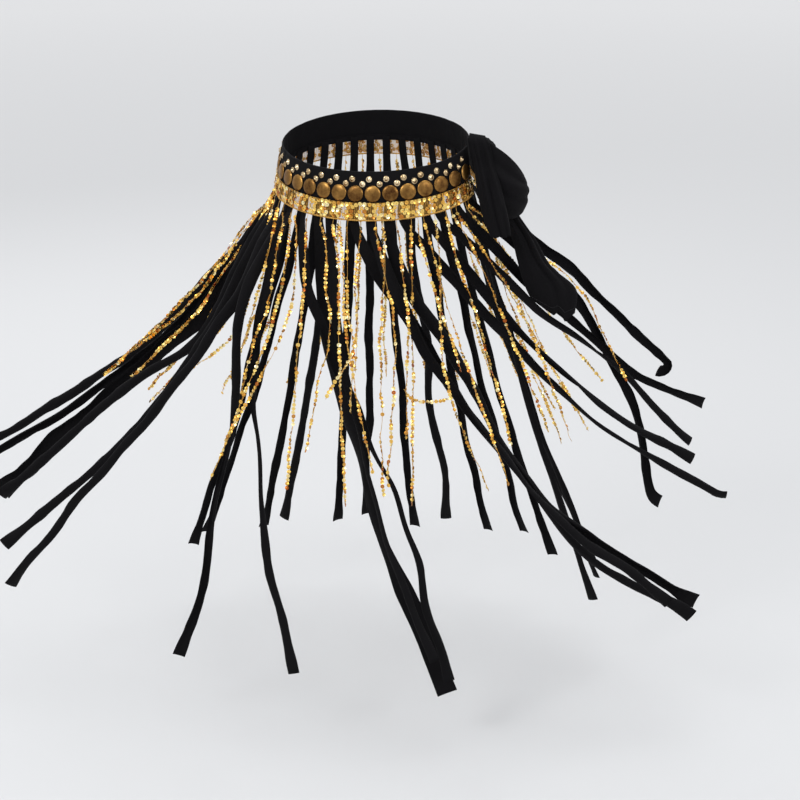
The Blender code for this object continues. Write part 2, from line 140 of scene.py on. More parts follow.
def soft_sky(top, rim):
    """A sky whose strength runs from rim at eye height to top overhead."""
    world = bpy.data.worlds.new("studio")
    bpy.context.scene.world = world
    world.use_nodes = True
    tree = world.node_tree
    place = tree.nodes.new("ShaderNodeTexCoord")
    split = tree.nodes.new("ShaderNodeSeparateXYZ")
    tree.links.new(place.outputs["Generated"], split.inputs[0])
    spread = tree.nodes.new("ShaderNodeMapRange")
    spread.inputs["From Min"].default_value = 0.0
    spread.inputs["From Max"].default_value = 0.8
    spread.inputs["To Min"].default_value = rim
    spread.inputs["To Max"].default_value = top
    tree.links.new(split.outputs["Z"], spread.inputs["Value"])
    back = tree.nodes["Background"]
    back.inputs["Color"].default_value = (0.97, 0.98, 1.0, 1)
    tree.links.new(spread.outputs["Result"], back.inputs["Strength"])


bpy.context.scene.view_settings.view_transform = "Standard"
pale_floor()
soft_sky(top=1.0, rim=0.80)
print("floor at", FLOOR)

# %% Soft boxes
SOFT_BOXES = [
    # name, place, size, power
    ("key", (-1.1, -2.7, 1.9), 1.2, 36),
    ("fill", (2.9, -1.6, 1.3), 1.2, 18),
    ("over", (0.2, 0.3, 2.6), 1.6, 24),
    ("rim", (-1.8, 2.2, 1.5), 1.2, 16),
]


def soft_box(name, place, size, power):
    """A square light aimed at the belt's middle."""
    light = bpy.data.lights.new(name, "AREA")
    light.size = size
    light.energy = power
    lamp = bpy.data.objects.new(name, light)
    bpy.context.scene.collection.objects.link(lamp)
    lamp.location = place
    lamp.rotation_euler = (-Vector(place)).to_track_quat("-Z", "Y").to_euler()


for box in SOFT_BOXES:
    soft_box(*box)
print(len(SOFT_BOXES), "soft boxes")

# %% [markdown]
# ## The ring of the belt
# Everything on the belt is placed by three numbers: the angle round it, how far below the top
# edge, and how far outside the cloth. One function turns them into points, for whole arrays at
# a time. The ring is an oval that widens downwards, and its top edge dips at the front.

# %% The belt's own coordinates
TOP_HALF_WIDTH = 0.149
TOP_HALF_DEPTH = 0.110
FLARE = 0.0095
BELT_HEIGHT = 0.070
SIDE_TOP = 0.035
TILT = 0.028
RING_START = -256.0
RING_END = 90.0


def unit(v):
    """Each row divided by its own length."""
    return v / np.maximum(np.linalg.norm(v, axis=-1, keepdims=True), 1e-12)


def skin(deg, down, out):
    """Points on the belt: an oval at that angle and depth, moved out along the oval's normal."""
    turn = np.radians(deg)
    half_width = TOP_HALF_WIDTH + FLARE * down / BELT_HEIGHT
    half_depth = TOP_HALF_DEPTH + FLARE * down / BELT_HEIGHT
    normal_x = half_depth * np.sin(turn)
    normal_y = -half_width * np.cos(turn)
    size = np.hypot(normal_x, normal_y)
    x = half_width * np.sin(turn) + out * normal_x / size
    y = -half_depth * np.cos(turn) + out * normal_y / size
    z = SIDE_TOP - TILT * np.cos(turn) - down
    return np.stack(np.broadcast_arrays(x, y, z), axis=-1)


def arc_table(down):
    """Angles in small steps, and the summed length of those steps from the centre front."""
    degs = np.linspace(-300.0, 120.0, 4201)
    steps = np.linalg.norm(np.diff(skin(degs, down, 0.0), axis=0), axis=1)
    length = np.concatenate([[0.0], np.cumsum(steps)])
    return degs, length - np.interp(0.0, degs, length)


def deg_at(arc, down):
    """The angle at an arc length round the belt from its centre front."""
    degs, length = arc_table(down)
    return np.interp(arc, length, degs)


def arc_at(deg, down):
    """The arc length round the belt from its centre front to an angle."""
    degs, length = arc_table(down)
    return np.interp(deg, degs, length)


ring_length = arc_at(RING_END, 0.03) - arc_at(RING_START, 0.03)
print("belt round its middle:", round(float(ring_length), 3), "m")

# %% [markdown]
# ## From arrays to meshes
# Each piece is a grid of points: rows along it, columns across it. The faces are index
# arithmetic on that grid, and the whole arrays are handed over at once with foreach_set. A
# closed shape's volume tells which way its faces point, so an inside-out one is turned.

# %% Putting arrays into a mesh
def put_mesh(name, points, face_sets, finish, smooth=True, closed=True, corner_uv=None):
    """A new piece from points (n, 3) and index arrays with one row for each face.

    The signed volume is the sum of a . (b x c) / 6 over each face's fan of triangles.
    """
    points = np.asarray(points, float)
    if closed:
        volume = 0.0
        for faces in face_sets:
            for k in range(1, faces.shape[1] - 1):
                a, b, c = points[faces[:, 0]], points[faces[:, k]], points[faces[:, k + 1]]
                volume += float((a * np.cross(b, c)).sum()) / 6
        if volume < 0:
            face_sets = [faces[:, ::-1] for faces in face_sets]
            corner_uv = None if corner_uv is None else [uv[:, ::-1] for uv in corner_uv]
    corners = np.concatenate([faces.ravel() for faces in face_sets]).astype(np.int32)
    sizes = np.concatenate([np.full(len(faces), faces.shape[1]) for faces in face_sets])
    mesh = bpy.data.meshes.new(name)
    mesh.vertices.add(len(points))
    mesh.vertices.foreach_set("co", points.astype(np.float32).ravel())
    mesh.loops.add(len(corners))
    mesh.loops.foreach_set("vertex_index", corners)
    mesh.polygons.add(len(sizes))
    mesh.polygons.foreach_set("loop_start", (np.cumsum(sizes) - sizes).astype(np.int32))
    mesh.update(calc_edges=True)
    mesh.polygons.foreach_set("use_smooth", np.full(len(sizes), smooth))
    if corner_uv is not None:
        layer = mesh.uv_layers.new(name="cut")
        flat = np.concatenate([uv.reshape(-1, 2) for uv in corner_uv])
        layer.data.foreach_set("uv", flat.astype(np.float32).ravel())
    mesh.materials.append(finish)
    piece = bpy.data.objects.new(name, mesh)
    bpy.context.scene.collection.objects.link(piece)
    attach(piece, "root")
    return piece


def grid_faces(rows, columns, tube):
    """Index rows of the quads between neighbouring points, and their row and column numbers."""
    i, j = np.meshgrid(np.arange(rows - 1), np.arange(columns if tube else columns - 1), indexing="ij")
    i, j = i.ravel(), j.ravel()
    over = (j + 1) % columns
    near, far = i * columns, (i + 1) * columns
    return np.stack([near + j, near + over, far + over, far + j], 1), i, j


def grid_piece(name, points, finish, tube, across, along, smooth=True):
    """One piece from a grid; a tube is joined round and has both ends capped.

    across and along are the flat cloth's own measures in metres, kept as its UV map.
    """
    rows, columns = points.shape[:2]
    quads, i, j = grid_faces(rows, columns, tube)
    u = np.stack([across[j], across[j + 1], across[j + 1], across[j]], 1)
    v = np.stack([along[i], along[i], along[i + 1], along[i + 1]], 1)
    face_sets, corner_uv = [quads], [np.stack([u, v], -1)]
    if tube:
        first = np.arange(columns)[None, ::-1]
        last = (rows - 1) * columns + np.arange(columns)[None, :]
        face_sets += [first, last]
        corner_uv += [np.zeros((1, columns, 2)), np.zeros((1, columns, 2))]
    return put_mesh(name, points.reshape(-1, 3), face_sets, finish, smooth, tube, corner_uv)


def outward(grid):
    """The direction square to a grid of points, from its differences along and across."""
    return unit(np.cross(np.gradient(grid, axis=0), np.gradient(grid, axis=1)))


def run_length(points, axis=0):
    """Distance travelled along a row of points, starting at nought."""
    steps = np.linalg.norm(np.diff(points, axis=axis), axis=-1)
    return np.concatenate([np.zeros_like(np.take(steps, [0], axis)), np.cumsum(steps, axis)], axis)


print("helpers ready")

# %% [markdown]
# ## Black jersey
# Jersey is a weft knit: fine upright ribs on its face, each a column of small V stitches. A
# picture of it would blur, so the ribs come from the cloth's own measures in the UV map: a
# sine across for the ribs, another along for the stitches. Cotton takes dye unevenly and lint
# sits on it, so noise lightens the black a little in places. The rib tops are also painted
# lighter than the hollows between them: a painted highlight, with painted shade between ribs.

# %% Node helpers
def finish_group(name, inputs=()):
    """A shader node group that gives colour, roughness and height, and its two ends."""
    group = bpy.data.node_groups.new(name, "ShaderNodeTree")
    for label, kind, value in inputs:
        socket = group.interface.new_socket(name=label, in_out="INPUT", socket_type="NodeSocket" + kind)
        socket.default_value = value
    for label, kind in (("Colour", "Color"), ("Roughness", "Float"), ("Height", "Float")):
        group.interface.new_socket(name=label, in_out="OUTPUT", socket_type="NodeSocket" + kind)
    return group, group.nodes.new("NodeGroupInput"), group.nodes.new("NodeGroupOutput")


def sums(tree, operation, a, b=None, c=None, clamp=False):
    """One Math node: each of a, b and c is a socket or a plain number."""
    made = tree.nodes.new("ShaderNodeMath")
    made.operation = operation
    made.use_clamp = clamp
    for slot, value in enumerate((a, b, c)):
        if isinstance(value, (int, float)):
            made.inputs[slot].default_value = value
        elif value is not None:
            tree.links.new(value, made.inputs[slot])
    return made.outputs[0]


def noise(tree, where, scale, detail=3.0, rough=0.55):
    """A noise texture's value between nought and one."""
    made = tree.nodes.new("ShaderNodeTexNoise")
    made.inputs["Scale"].default_value = scale
    made.inputs["Detail"].default_value = detail
    made.inputs["Roughness"].default_value = rough
    tree.links.new(where, made.inputs["Vector"])
    return made.outputs[0]


def cut_measures(group):
    """A point's measures on the flat cloth, across and along, from the piece's UV map."""
    cut = group.nodes.new("ShaderNodeUVMap")
    cut.uv_map = "cut"
    split = group.nodes.new("ShaderNodeSeparateXYZ")
    group.links.new(cut.outputs[0], split.inputs[0])
    return split.outputs["X"], split.outputs["Y"]


def attribute(group, name):
    """A piece's own number at each point, by the attribute's name."""
    made = group.nodes.new("ShaderNodeAttribute")
    made.attribute_name = name
    return made.outputs["Fac"]


print("node helpers ready")

# %% The knit as a node group
def knit_group():
    """Ribs: |sin| across the cloth. Stitches: a sine along it, slanted by the rib. Dye: noise. Rib tops
    painted lighter than the hollows: painted highlight and painted shade.
    """
    group, enter, leave = finish_group("knit", [("Rib", "Float", 0.0011), ("Stitch", "Float", 0.0013)])
    across, along = cut_measures(group)
    turns = sums(group, "DIVIDE", across, enter.outputs["Rib"])
    rib = sums(group, "ABSOLUTE", sums(group, "SINE", sums(group, "MULTIPLY", turns, math.pi)))
    rows = sums(group, "DIVIDE", along, enter.outputs["Stitch"])
    slant = sums(group, "MULTIPLY_ADD", rib, 0.5, rows)
    stitch = sums(group, "SINE", sums(group, "MULTIPLY", slant, 2 * math.pi))
    height = sums(group, "MULTIPLY_ADD", stitch, 0.22, sums(group, "POWER", rib, 0.7))
    place = group.nodes.new("ShaderNodeTexCoord").outputs["Object"]
    dye = noise(group, place, 24.0, 4.0)
    lint = noise(group, place, 900.0, 2.0)
    tone = sums(group, "MULTIPLY_ADD", lint, 0.35, sums(group, "MULTIPLY", dye, 0.75), clamp=True)
    # rib tops lighter, hollows between ribs darker: painted highlight and painted shade on the knit
    tone = sums(group, "MULTIPLY_ADD", rib, 0.35, sums(group, "ADD", tone, -0.2), clamp=True)
    colour = blend_colours(group, tone, INK, FADED_INK_AND_RIB_HIGHLIGHT)
    group.links.new(colour, leave.inputs["Colour"])
    rough = sums(group, "MULTIPLY_ADD", dye, 0.22, 0.68)
    group.links.new(rough, leave.inputs["Roughness"])
    group.links.new(height, leave.inputs["Height"])
    return group


def finish_from(name, group, bump_depth, bump_size=1.0, values=(), **sockets):
    """A Principled finish whose varying colour, roughness and bump come from one group."""
    made = bpy.data.materials.new(name)
    made.use_nodes = True
    tree = made.node_tree
    shader = tree.nodes["Principled BSDF"]
    for label, value in sockets.items():
        shader.inputs[label.replace("_", " ")].default_value = value
    use = tree.nodes.new("ShaderNodeGroup")
    use.node_tree = group
    for label, value in values:
        use.inputs[label].default_value = value
    tree.links.new(use.outputs["Colour"], shader.inputs["Base Color"])
    tree.links.new(use.outputs["Roughness"], shader.inputs["Roughness"])
    bump = tree.nodes.new("ShaderNodeBump")
    bump.inputs["Strength"].default_value = bump_size
    bump.inputs["Distance"].default_value = bump_depth
    tree.links.new(use.outputs["Height"], bump.inputs["Height"])
    tree.links.new(bump.outputs["Normal"], shader.inputs["Normal"])
    return made


INK = (0.0010, 0.0009, 0.0012, 1)
# the pale end: faded dye and lint, and the painted highlight on the rib tops
FADED_INK_AND_RIB_HIGHLIGHT = (0.0070, 0.0064, 0.0076, 1)
knit = knit_group()
MATT = {"Specular_IOR_Level": 0.09, "Sheen_Weight": 0.012, "Sheen_Roughness": 0.4}
jersey = finish_from("black_jersey", knit, 0.00035, 0.8, **MATT)
tape_jersey = finish_from("black_tape", knit, 0.0004, 0.8, [("Rib", 0.0008), ("Stitch", 0.0024)], **MATT)
print("finishes:", jersey.name, tape_jersey.name)

# %% [markdown]
# ## The band
# The band is one length of doubled jersey, folded along its top edge. It is a closed wall: a
# rounded profile carried round the ring. Stretch cloth that carries heavy discs puckers, so
# shallow uneven troughs run down it. Both faces take the same trough, so the wall keeps its
# thickness.

# %% The band's wall
BAND_HEIGHT = 0.049
BAND_WALL = 0.003
SEAM_GAP = 0.0003


def rounded_wall(height, wall, straight, bend):
    """A closed (down, out) profile: two straight faces joined by half circles, outer face first."""
    half = wall / 2
    run = np.linspace(half, height - half, straight)
    turn = np.linspace(0, np.pi, bend + 2)[1:-1]
    outer = np.stack([run, np.zeros(straight)], 1)
    low = np.stack([height - half + half * np.sin(turn), -half + half * np.cos(turn)], 1)
    inner = np.stack([run[::-1], np.full(straight, -wall)], 1)
    top = np.stack([half - half * np.sin(turn), -half - half * np.cos(turn)], 1)
    return np.concatenate([outer, low, inner, top])


def soft_troughs(arc, down, count, depth, wide, seed):
    """Sum of bell-shaped troughs, each with its own place, lean, width and depth."""
    pick = np.random.default_rng(seed)
    middle = np.linspace(arc.min(), arc.max(), count) + pick.uniform(-0.012, 0.012, count)
    lean = pick.uniform(-0.5, 0.5, count)
    broad = wide * pick.uniform(0.6, 1.6, count)
    deep = depth * pick.uniform(0.2, 1.0, count)
    off = (arc[..., None] - middle - lean * (down[..., None] - 0.02)) / broad
    return (deep * np.exp(-off**2)).sum(-1)


def ring_wall(name, profile, columns, troughs, finish):
    """A profile carried round the ring, with its troughs pressed in towards its middle."""
    deg = np.linspace(RING_START, RING_END, columns)[:, None]
    down, out = profile[:, 0][None, :], profile[:, 1][None, :]
    arc = arc_at(deg, 0.03) + 0 * down
    press = troughs(arc, down + 0 * arc)
    points = skin(deg, down, out - press)
    round_it = np.concatenate([profile, profile[:1]])
    return grid_piece(name, points, finish, True, run_length(round_it), arc[:, 0]), arc


def band_troughs(arc, down):
    """The puckers of the band, which the tape inside it shares."""
    return soft_troughs(arc, down, 60, 0.0006, 0.004, 11)


band_profile = rounded_wall(BAND_HEIGHT, BAND_WALL, 13, 3)
band, band_arc = ring_wall("band_dressed", band_profile, 420, band_troughs, jersey)
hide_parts("band")

# %% [markdown]
# ## Antique brass
# Antique brass is brass darkened with a brown patina and then wiped, so it stays dark in the
# hollows and bright where a cloth reaches: along rims and on high places. Each disc carries a
# rim attribute, nought at its middle and one at its edge, which drives that wear. Long thin
# noise makes the wiping marks.

# %% Patina and pale gold finishes
def patina_group():
    """Colour by noise between brown and brass, brightened where rim is near one; fine scratches."""
    inputs = [
        ("Dark", "Color", (0.060, 0.021, 0.006, 1)),
        ("Bright", "Color", (0.44, 0.235, 0.062, 1)),
        ("Rough", "Float", 0.22),
    ]
    group, enter, leave = finish_group("patina", inputs)
    place = group.nodes.new("ShaderNodeTexCoord").outputs["Object"]
    clouds = noise(group, place, 75.0, 4.0, 0.6)
    stretch = group.nodes.new("ShaderNodeMapping")
    stretch.inputs["Scale"].default_value = (260.0, 260.0, 1500.0)
    stretch.inputs["Rotation"].default_value = (0.25, 0.35, 0.0)
    group.links.new(place, stretch.inputs["Vector"])
    wiped = noise(group, stretch.outputs[0], 1.0, 2.0)
    worn = sums(group, "POWER", attribute(group, "rim"), 5.0)
    tone = sums(group, "MULTIPLY_ADD", clouds, 1.7, sums(group, "MULTIPLY_ADD", wiped, 0.35, -0.90))
    tone = sums(group, "MULTIPLY_ADD", attribute(group, "lot"), 0.35, tone)
    tone = sums(group, "MULTIPLY_ADD", worn, 0.35, tone, clamp=True)
    colour = blend_colours(group, tone, enter.outputs["Dark"], enter.outputs["Bright"])
    group.links.new(colour, leave.inputs["Colour"])
    rough = sums(group, "MULTIPLY_ADD", wiped, 0.25, enter.outputs["Rough"])
    rough = sums(group, "MULTIPLY_ADD", worn, -0.10, rough)
    group.links.new(rough, leave.inputs["Roughness"])
    height = sums(group, "MULTIPLY_ADD", clouds, 0.6, sums(group, "MULTIPLY", wiped, 0.4))
    group.links.new(height, leave.inputs["Height"])
    return group


patina = patina_group()
brass = finish_from("antique_brass", patina, 0.00010, 0.3, Metallic=0.94)
pale = [("Dark", (0.34, 0.22, 0.10, 1)), ("Bright", (0.96, 0.80, 0.53, 1)), ("Rough", 0.08)]
cone_gold = finish_from("pale_gold_cone", patina, 0.00008, 0.2, pale, Metallic=1.0)
print("finishes:", brass.name, cone_gold.name)

# %% [markdown]
# ## Discs and cone studs
# Both kinds of metal are turned shapes: a profile spun about an axis. One is worked out once,
# then every copy is that shape turned and moved by its own matrix, all of them in one array
# product. The discs are one-inch flat domes with a rolled rim; the studs are cones whose sides
# curve in to a brim.

# %% Turned metal, copied in one step
DISC_COUNT = 29
DISC_PITCH = 0.0266
DISC_FIRST_ARC = 0.196
DISC_DOWN = 0.033
DISC_RADIUS = 0.0124
STUD_RADIUS = 0.0047


def turned(profile, segments):
    """A profile of (radius, height) rows spun about Z, with one point at each pole."""
    turn = np.arange(segments) * 2 * np.pi / segments
    rings = profile[1:-1]
    x = rings[:, :1] * np.cos(turn)
    y = rings[:, :1] * np.sin(turn)
    z = rings[:, 1:] + 0 * turn
    body = np.stack([x, y, z], -1).reshape(-1, 3)
    points = np.concatenate([body, [[0, 0, profile[0, 1]], [0, 0, profile[-1, 1]]]])
    quads, _, _ = grid_faces(len(rings), segments, True)
    k = np.arange(segments)
    after = (k + 1) % segments
    last = (len(rings) - 1) * segments
    top = np.stack([np.full(segments, len(body)), after, k], 1)
    foot = np.stack([np.full(segments, len(body) + 1), last + k, last + after], 1)
    return points, quads, np.concatenate([top, foot])


def copies(name, shape, origins, axes, sizes, finish, smooth=True, attributes=()):
    """Every copy at once: origin + size * (x * X axis + y * Y axis + z * Z axis)."""
    points, *face_sets = shape
    placed = np.einsum("vk,nkc->nvc", points, axes) * sizes[:, None, None] + origins[:, None, :]
    jump = (np.arange(len(origins)) * len(points))[:, None, None]
    joined = [(faces[None] + jump).reshape(-1, faces.shape[1]) for faces in face_sets]
    piece = put_mesh(name, placed.reshape(-1, 3), joined, finish, smooth)
    for label, values in attributes:
        column = np.broadcast_to(values, (len(origins), len(points))).astype(np.float32)
        piece.data.attributes.new(label, "FLOAT", "POINT").data.foreach_set("value", column.ravel())
    return piece


def on_band(arc, down, out):
    """Where metal sits on the band: origins, and axes with Z straight out of the cloth."""
    deg = deg_at(arc, DISC_DOWN)
    point = skin(deg, down, out)
    below = unit(skin(deg, down + 0.001, out) - point)
    outward = skin(deg, down, out + 0.001) - point
    z = unit(outward - (outward * below).sum(-1, keepdims=True) * below)
    y = -below
    return point, np.stack([np.cross(y, z), y, z], 1)


print("turned and copies ready")

# %% The discs
DISC_PROFILE = np.array([
    # radius, height
    (0.0, 0.00330),
    (0.0030, 0.00326),
    (0.0060, 0.00305),
    (0.0085, 0.00268),
    (0.0103, 0.00215),
    (0.0114, 0.00158),
    (0.0120, 0.00105),
    (0.01238, 0.00060),
    (0.01230, 0.00022),
    (0.0119, 0.00002),
    (0.0106, 0.0),
    (0.0, 0.0),
])


def metal_discs():
    """One joined mesh of every disc, each spun to its own angle, with rim = radius / widest."""
    shape = turned(DISC_PROFILE, 40)
    arc = DISC_FIRST_ARC - DISC_PITCH * np.arange(DISC_COUNT)
    origins, axes = on_band(arc, DISC_DOWN, SEAM_GAP + 0.0001)
    pick = np.random.default_rng(3)
    spin = pick.uniform(0, 2 * np.pi, DISC_COUNT)[:, None]
    x = axes[:, 0] * np.cos(spin) + axes[:, 1] * np.sin(spin)
    y = -axes[:, 0] * np.sin(spin) + axes[:, 1] * np.cos(spin)
    rim = np.hypot(shape[0][:, 0], shape[0][:, 1]) / DISC_RADIUS
    lot = pick.uniform(0, 1, (DISC_COUNT, 1))
    words = [("rim", rim[None]), ("lot", lot)]
    turned_axes = np.stack([x, y, axes[:, 2]], 1)
    return copies("discs", shape, origins, turned_axes, np.ones(DISC_COUNT), brass, True, words)


discs = metal_discs()
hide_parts(*[f"disc_{k + 1:02d}" for k in range(DISC_COUNT)])
print(DISC_COUNT, "discs,", len(discs.data.polygons), "faces")

# %% The cone studs
STUD_PROFILE = np.array([
    # radius, height
    (0.0, 0.00400),
    (0.00045, 0.00388),
    (0.0010, 0.00345),
    (0.0021, 0.00235),
    (0.0032, 0.00130),
    (0.0039, 0.00085),
    (0.0044, 0.00078),
    (0.0047, 0.00050),
    (0.0046, 0.0),
    (0.0, -0.0006),
])


def cone_studs():
    """Two studs for each disc: one up and to one side, one lower and to the other."""
    shape = turned(STUD_PROFILE, 18)
    base = DISC_FIRST_ARC - DISC_PITCH * np.arange(DISC_COUNT)
    arc = np.concatenate([base - 0.006, base + 0.0105])
    down = np.concatenate([np.full(DISC_COUNT, 0.0115), np.full(DISC_COUNT, 0.0188)])
    kept = arc < 0.2008
    origins, axes = on_band(arc[kept], down[kept], 0.0)
    pick = np.random.default_rng(5)
    tilt = pick.normal(0, 0.06, (kept.sum(), 2))
    z = unit(axes[:, 2] + tilt[:, :1] * axes[:, 0] + tilt[:, 1:] * axes[:, 1])
    x = unit(np.cross(axes[:, 1], z))
    rim = 1.0 - np.clip(shape[0][:, 2] / 0.004, 0, 1)
    words = [("rim", 0.8 - 0.5 * rim[None]), ("lot", pick.uniform(0, 1, (kept.sum(), 1)))]
    print(kept.sum(), "cone studs")
    leaning = np.stack([x, np.cross(z, x), z], 1)
    return copies("cones", shape, origins, leaning, np.ones(kept.sum()), cone_gold, True, words)


cones = cone_studs()

# %% [markdown]
# ## Gold sequins
# A sequin is a disc of metallised film, dished a little, with a hole to sew it by. The film is
# nearly a mirror, so what makes a sequin trim glitter is that every sequin tilts its own way:
# a few flash white, most show a warm gold, some go brown. Each copy has its own lot number,
# which shifts its colour.

# %% Sequin, thread and foil finishes
FOIL_COLOURS = [
    # lot number, colour: brown, dark gold, gold, yellow gold, pale gold
    (0.0, (0.42, 0.10, 0.02, 1)),
    (0.12, (0.70, 0.34, 0.06, 1)),
    (0.4, (0.90, 0.54, 0.11, 1)),
    (0.78, (0.99, 0.72, 0.22, 1)),
    (1.0, (1.0, 0.88, 0.50, 1)),
]


def foil_group():
    """Colour by each sequin's own lot number, with finger marks in the gloss."""
    group, _, leave = finish_group("foil")
    ramp = group.nodes.new("ShaderNodeValToRGB")
    stops = ramp.color_ramp.elements
    for stop, (_, colour) in zip(stops, (FOIL_COLOURS[0], FOIL_COLOURS[-1])):
        stop.color = colour
    for where, colour in FOIL_COLOURS[1:-1]:
        stops.new(where).color = colour
    group.links.new(attribute(group, "lot"), ramp.inputs[0])
    place = group.nodes.new("ShaderNodeTexCoord").outputs["Object"]
    marks = noise(group, place, 420.0, 3.0)
    group.links.new(ramp.outputs["Color"], leave.inputs["Colour"])
    group.links.new(sums(group, "MULTIPLY_ADD", marks, 0.22, 0.10), leave.inputs["Roughness"])
    group.links.new(marks, leave.inputs["Height"])
    return group


def twist_group():
    """Metal thread: plies wound round a core, a sine of (turns round + run along / lay). The crests are
    painted brighter and the grooves darker: painted highlight and painted shade.
    """
    inputs = [
        ("Lay", "Float", 0.0016),
        ("Dark", "Color", (0.36, 0.15, 0.02, 1)),
        ("Bright", "Color", (0.95, 0.60, 0.16, 1)),
    ]
    group, enter, leave = finish_group("twist", inputs)
    across, along = cut_measures(group)
    run = sums(group, "DIVIDE", along, enter.outputs["Lay"])
    turns = sums(group, "ADD", run, across)
    ply = sums(group, "SINE", sums(group, "MULTIPLY", turns, 2 * math.pi))
    place = group.nodes.new("ShaderNodeTexCoord").outputs["Object"]
    cloud = noise(group, place, 160.0, 3.0)
    # ply crests brighter, grooves darker: painted highlight and painted shade
    tone = sums(group, "MULTIPLY_ADD", ply, 0.25, cloud, clamp=True)
    colour = blend_colours(group, tone, enter.outputs["Dark"], enter.outputs["Bright"])
    group.links.new(colour, leave.inputs["Colour"])
    group.links.new(sums(group, "MULTIPLY_ADD", ply, -0.08, 0.36), leave.inputs["Roughness"])
    group.links.new(ply, leave.inputs["Height"])
    return group


foil = finish_from("gold_sequins", foil_group(), 0.00006, 0.15, Metallic=1.0)
twist = twist_group()
gold_thread = finish_from("gold_thread", twist, 0.0002, 0.6, Metallic=0.8)
gold_cord = finish_from("gold_cord", twist, 0.0003, 0.6, [("Lay", 0.0011)], Metallic=0.8)
inky = [("Lay", 0.0009), ("Dark", (0.003, 0.003, 0.004, 1)), ("Bright", (0.030, 0.029, 0.034, 1))]
black_thread = finish_from("black_thread", twist, 0.0001, 0.6, inky, Sheen_Weight=0.05)
print("finishes:", foil.name, gold_thread.name, gold_cord.name, black_thread.name)

# %% One sequin, and many
def one_sequin(sides):
    """A dished ring of film, radius 1: hole edge, rim and back again, 0.05 thick."""
    turn = np.arange(sides) * 2 * np.pi / sides
    profile = np.array([(0.17, 0.0), (1.0, 0.16), (1.0, 0.11), (0.17, -0.05)])
    rings = np.stack([
        profile[:, :1] * np.cos(turn),
        profile[:, :1] * np.sin(turn),
        profile[:, 1:] + 0 * turn,
    ], -1)
    quads, _, _ = grid_faces(4, sides, True)
    k = np.arange(sides)
    after = (k + 1) % sides
    hole = np.stack([3 * sides + k, 3 * sides + after, after, k], 1)
    return rings.reshape(-1, 3), np.concatenate([quads, hole])


def scatter_sequins(name, middles, normals, radius, seed, sides=8):
    """Sequins at the given places, each spun, sized and coloured by its own numbers."""
    pick = np.random.default_rng(seed)
    count = len(middles)
    z = unit(normals)
    x = unit(np.cross(z, pick.normal(0, 1, (count, 3))))
    axes = np.stack([x, np.cross(z, x), z], 1)
    sizes = radius * pick.uniform(0.92, 1.05, count)
    words = [("lot", pick.uniform(0, 1, (count, 1)))]
    return copies(name, one_sequin(sides), middles, axes, sizes, foil, False, words)


print("one sequin has", len(one_sequin(8)[1]), "faces")

# %% [markdown]
# ## Thread
# Net, cord and fringe threads are tubes round a path. For every point, the direction ahead
# comes from the path's own differences, and two directions square to it carry the circle. Many
# tubes are worked out in one array and joined in one mesh.

# %% Tubes along many paths
def tube_rings(paths, radius, sides):
    """path + radius * (cos a * out + sin a * side) for each angle a; paths are (k, n, 3)."""
    ahead = unit(np.gradient(paths, axis=1))
    out = paths * np.array([1.0, 1.8, 0.0]) + np.array([0.0, 0.0, 1e-4])
    out = unit(out - (out * ahead).sum(-1, keepdims=True) * ahead)
    side = np.cross(ahead, out)
    a = (np.arange(sides) * 2 * np.pi / sides)[:, None]
    circle = np.cos(a) * out[:, :, None, :] + np.sin(a) * side[:, :, None, :]
    return paths[:, :, None, :] + radius * circle


def threads(name, path_sets, radius, sides, finish):
    """All the tubes in one mesh, their ends capped, u round them and v along them.

    Each set is an array (k, n, 3) of k paths with n points each.
    """
    points, face_sets, corner_uv, first = [], [], [], 0
    for paths in path_sets:
        count, length = paths.shape[:2]
        points.append(tube_rings(paths, radius, sides).reshape(-1, 3))
        quads, i, j = grid_faces(length, sides, True)
        jump = (first + np.arange(count) * length * sides)[:, None, None]
        run = run_length(paths, 1)
        u = np.stack([j, j + 1, j + 1, j], 1) / sides
        v = run[:, np.stack([i, i, i + 1, i + 1], 1)]
        caps = np.stack([np.arange(sides)[::-1], (length - 1) * sides + np.arange(sides)])
        face_sets += [(quads[None] + jump).reshape(-1, 4), (caps[None] + jump).reshape(-1, sides)]
        corner_uv.append(np.stack([np.broadcast_to(u, v.shape), v], -1).reshape(-1, 4, 2))
        corner_uv.append(np.zeros((2 * count, sides, 2)))
        first += count * length * sides
    return put_mesh(name, np.concatenate(points), face_sets, finish, True, True, corner_uv)


print("threads ready")

# %% [markdown]
# ## The sequin trim
# The trim is a strip of gold net, 24 mm deep, with sequins sewn over it in a criss-cross. What
# lies behind shows through a row of diamond windows, 21 mm apart. The net is made as real
# threads, because a see-through picture would have no edges in close views: lines along the
# belt, crossed by shorter ones. A zigzag of the same thread holds its top edge to the band.

# %% The net
TRIM_TOP = 0.046
TRIM_MIDDLE = 0.058
NET_OUT = 0.0012
RUNG_APART = 0.0031


def net_threads():
    """Long lines at even depths, and short ones across them, all a hair off the band."""
    deg = np.linspace(RING_START, RING_END, 260)
    downs = np.linspace(TRIM_TOP + 0.0006, BELT_HEIGHT - 0.0006, 14)
    sway = 0.00016 * np.sin(np.radians(deg) * 61)[None, :] * np.cos(downs * 2400)[:, None]
    long_ones = skin(deg[None, :], downs[:, None] + sway, NET_OUT)
    start, end = arc_at(RING_START, TRIM_MIDDLE) + 0.002, arc_at(RING_END, TRIM_MIDDLE) - 0.001
    across = deg_at(np.arange(start, end, RUNG_APART), TRIM_MIDDLE)[:, None]
    short_ones = skin(across, np.linspace(TRIM_TOP + 0.0004, BELT_HEIGHT - 0.0004, 4)[None, :], NET_OUT)
    return long_ones, short_ones


long_lines, short_lines = net_threads()
net = threads("trim_net", [long_lines, short_lines], 0.00033, 4, gold_thread)
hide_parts("sequin_trim")
print(len(long_lines), "lines along,", len(short_lines), "across")

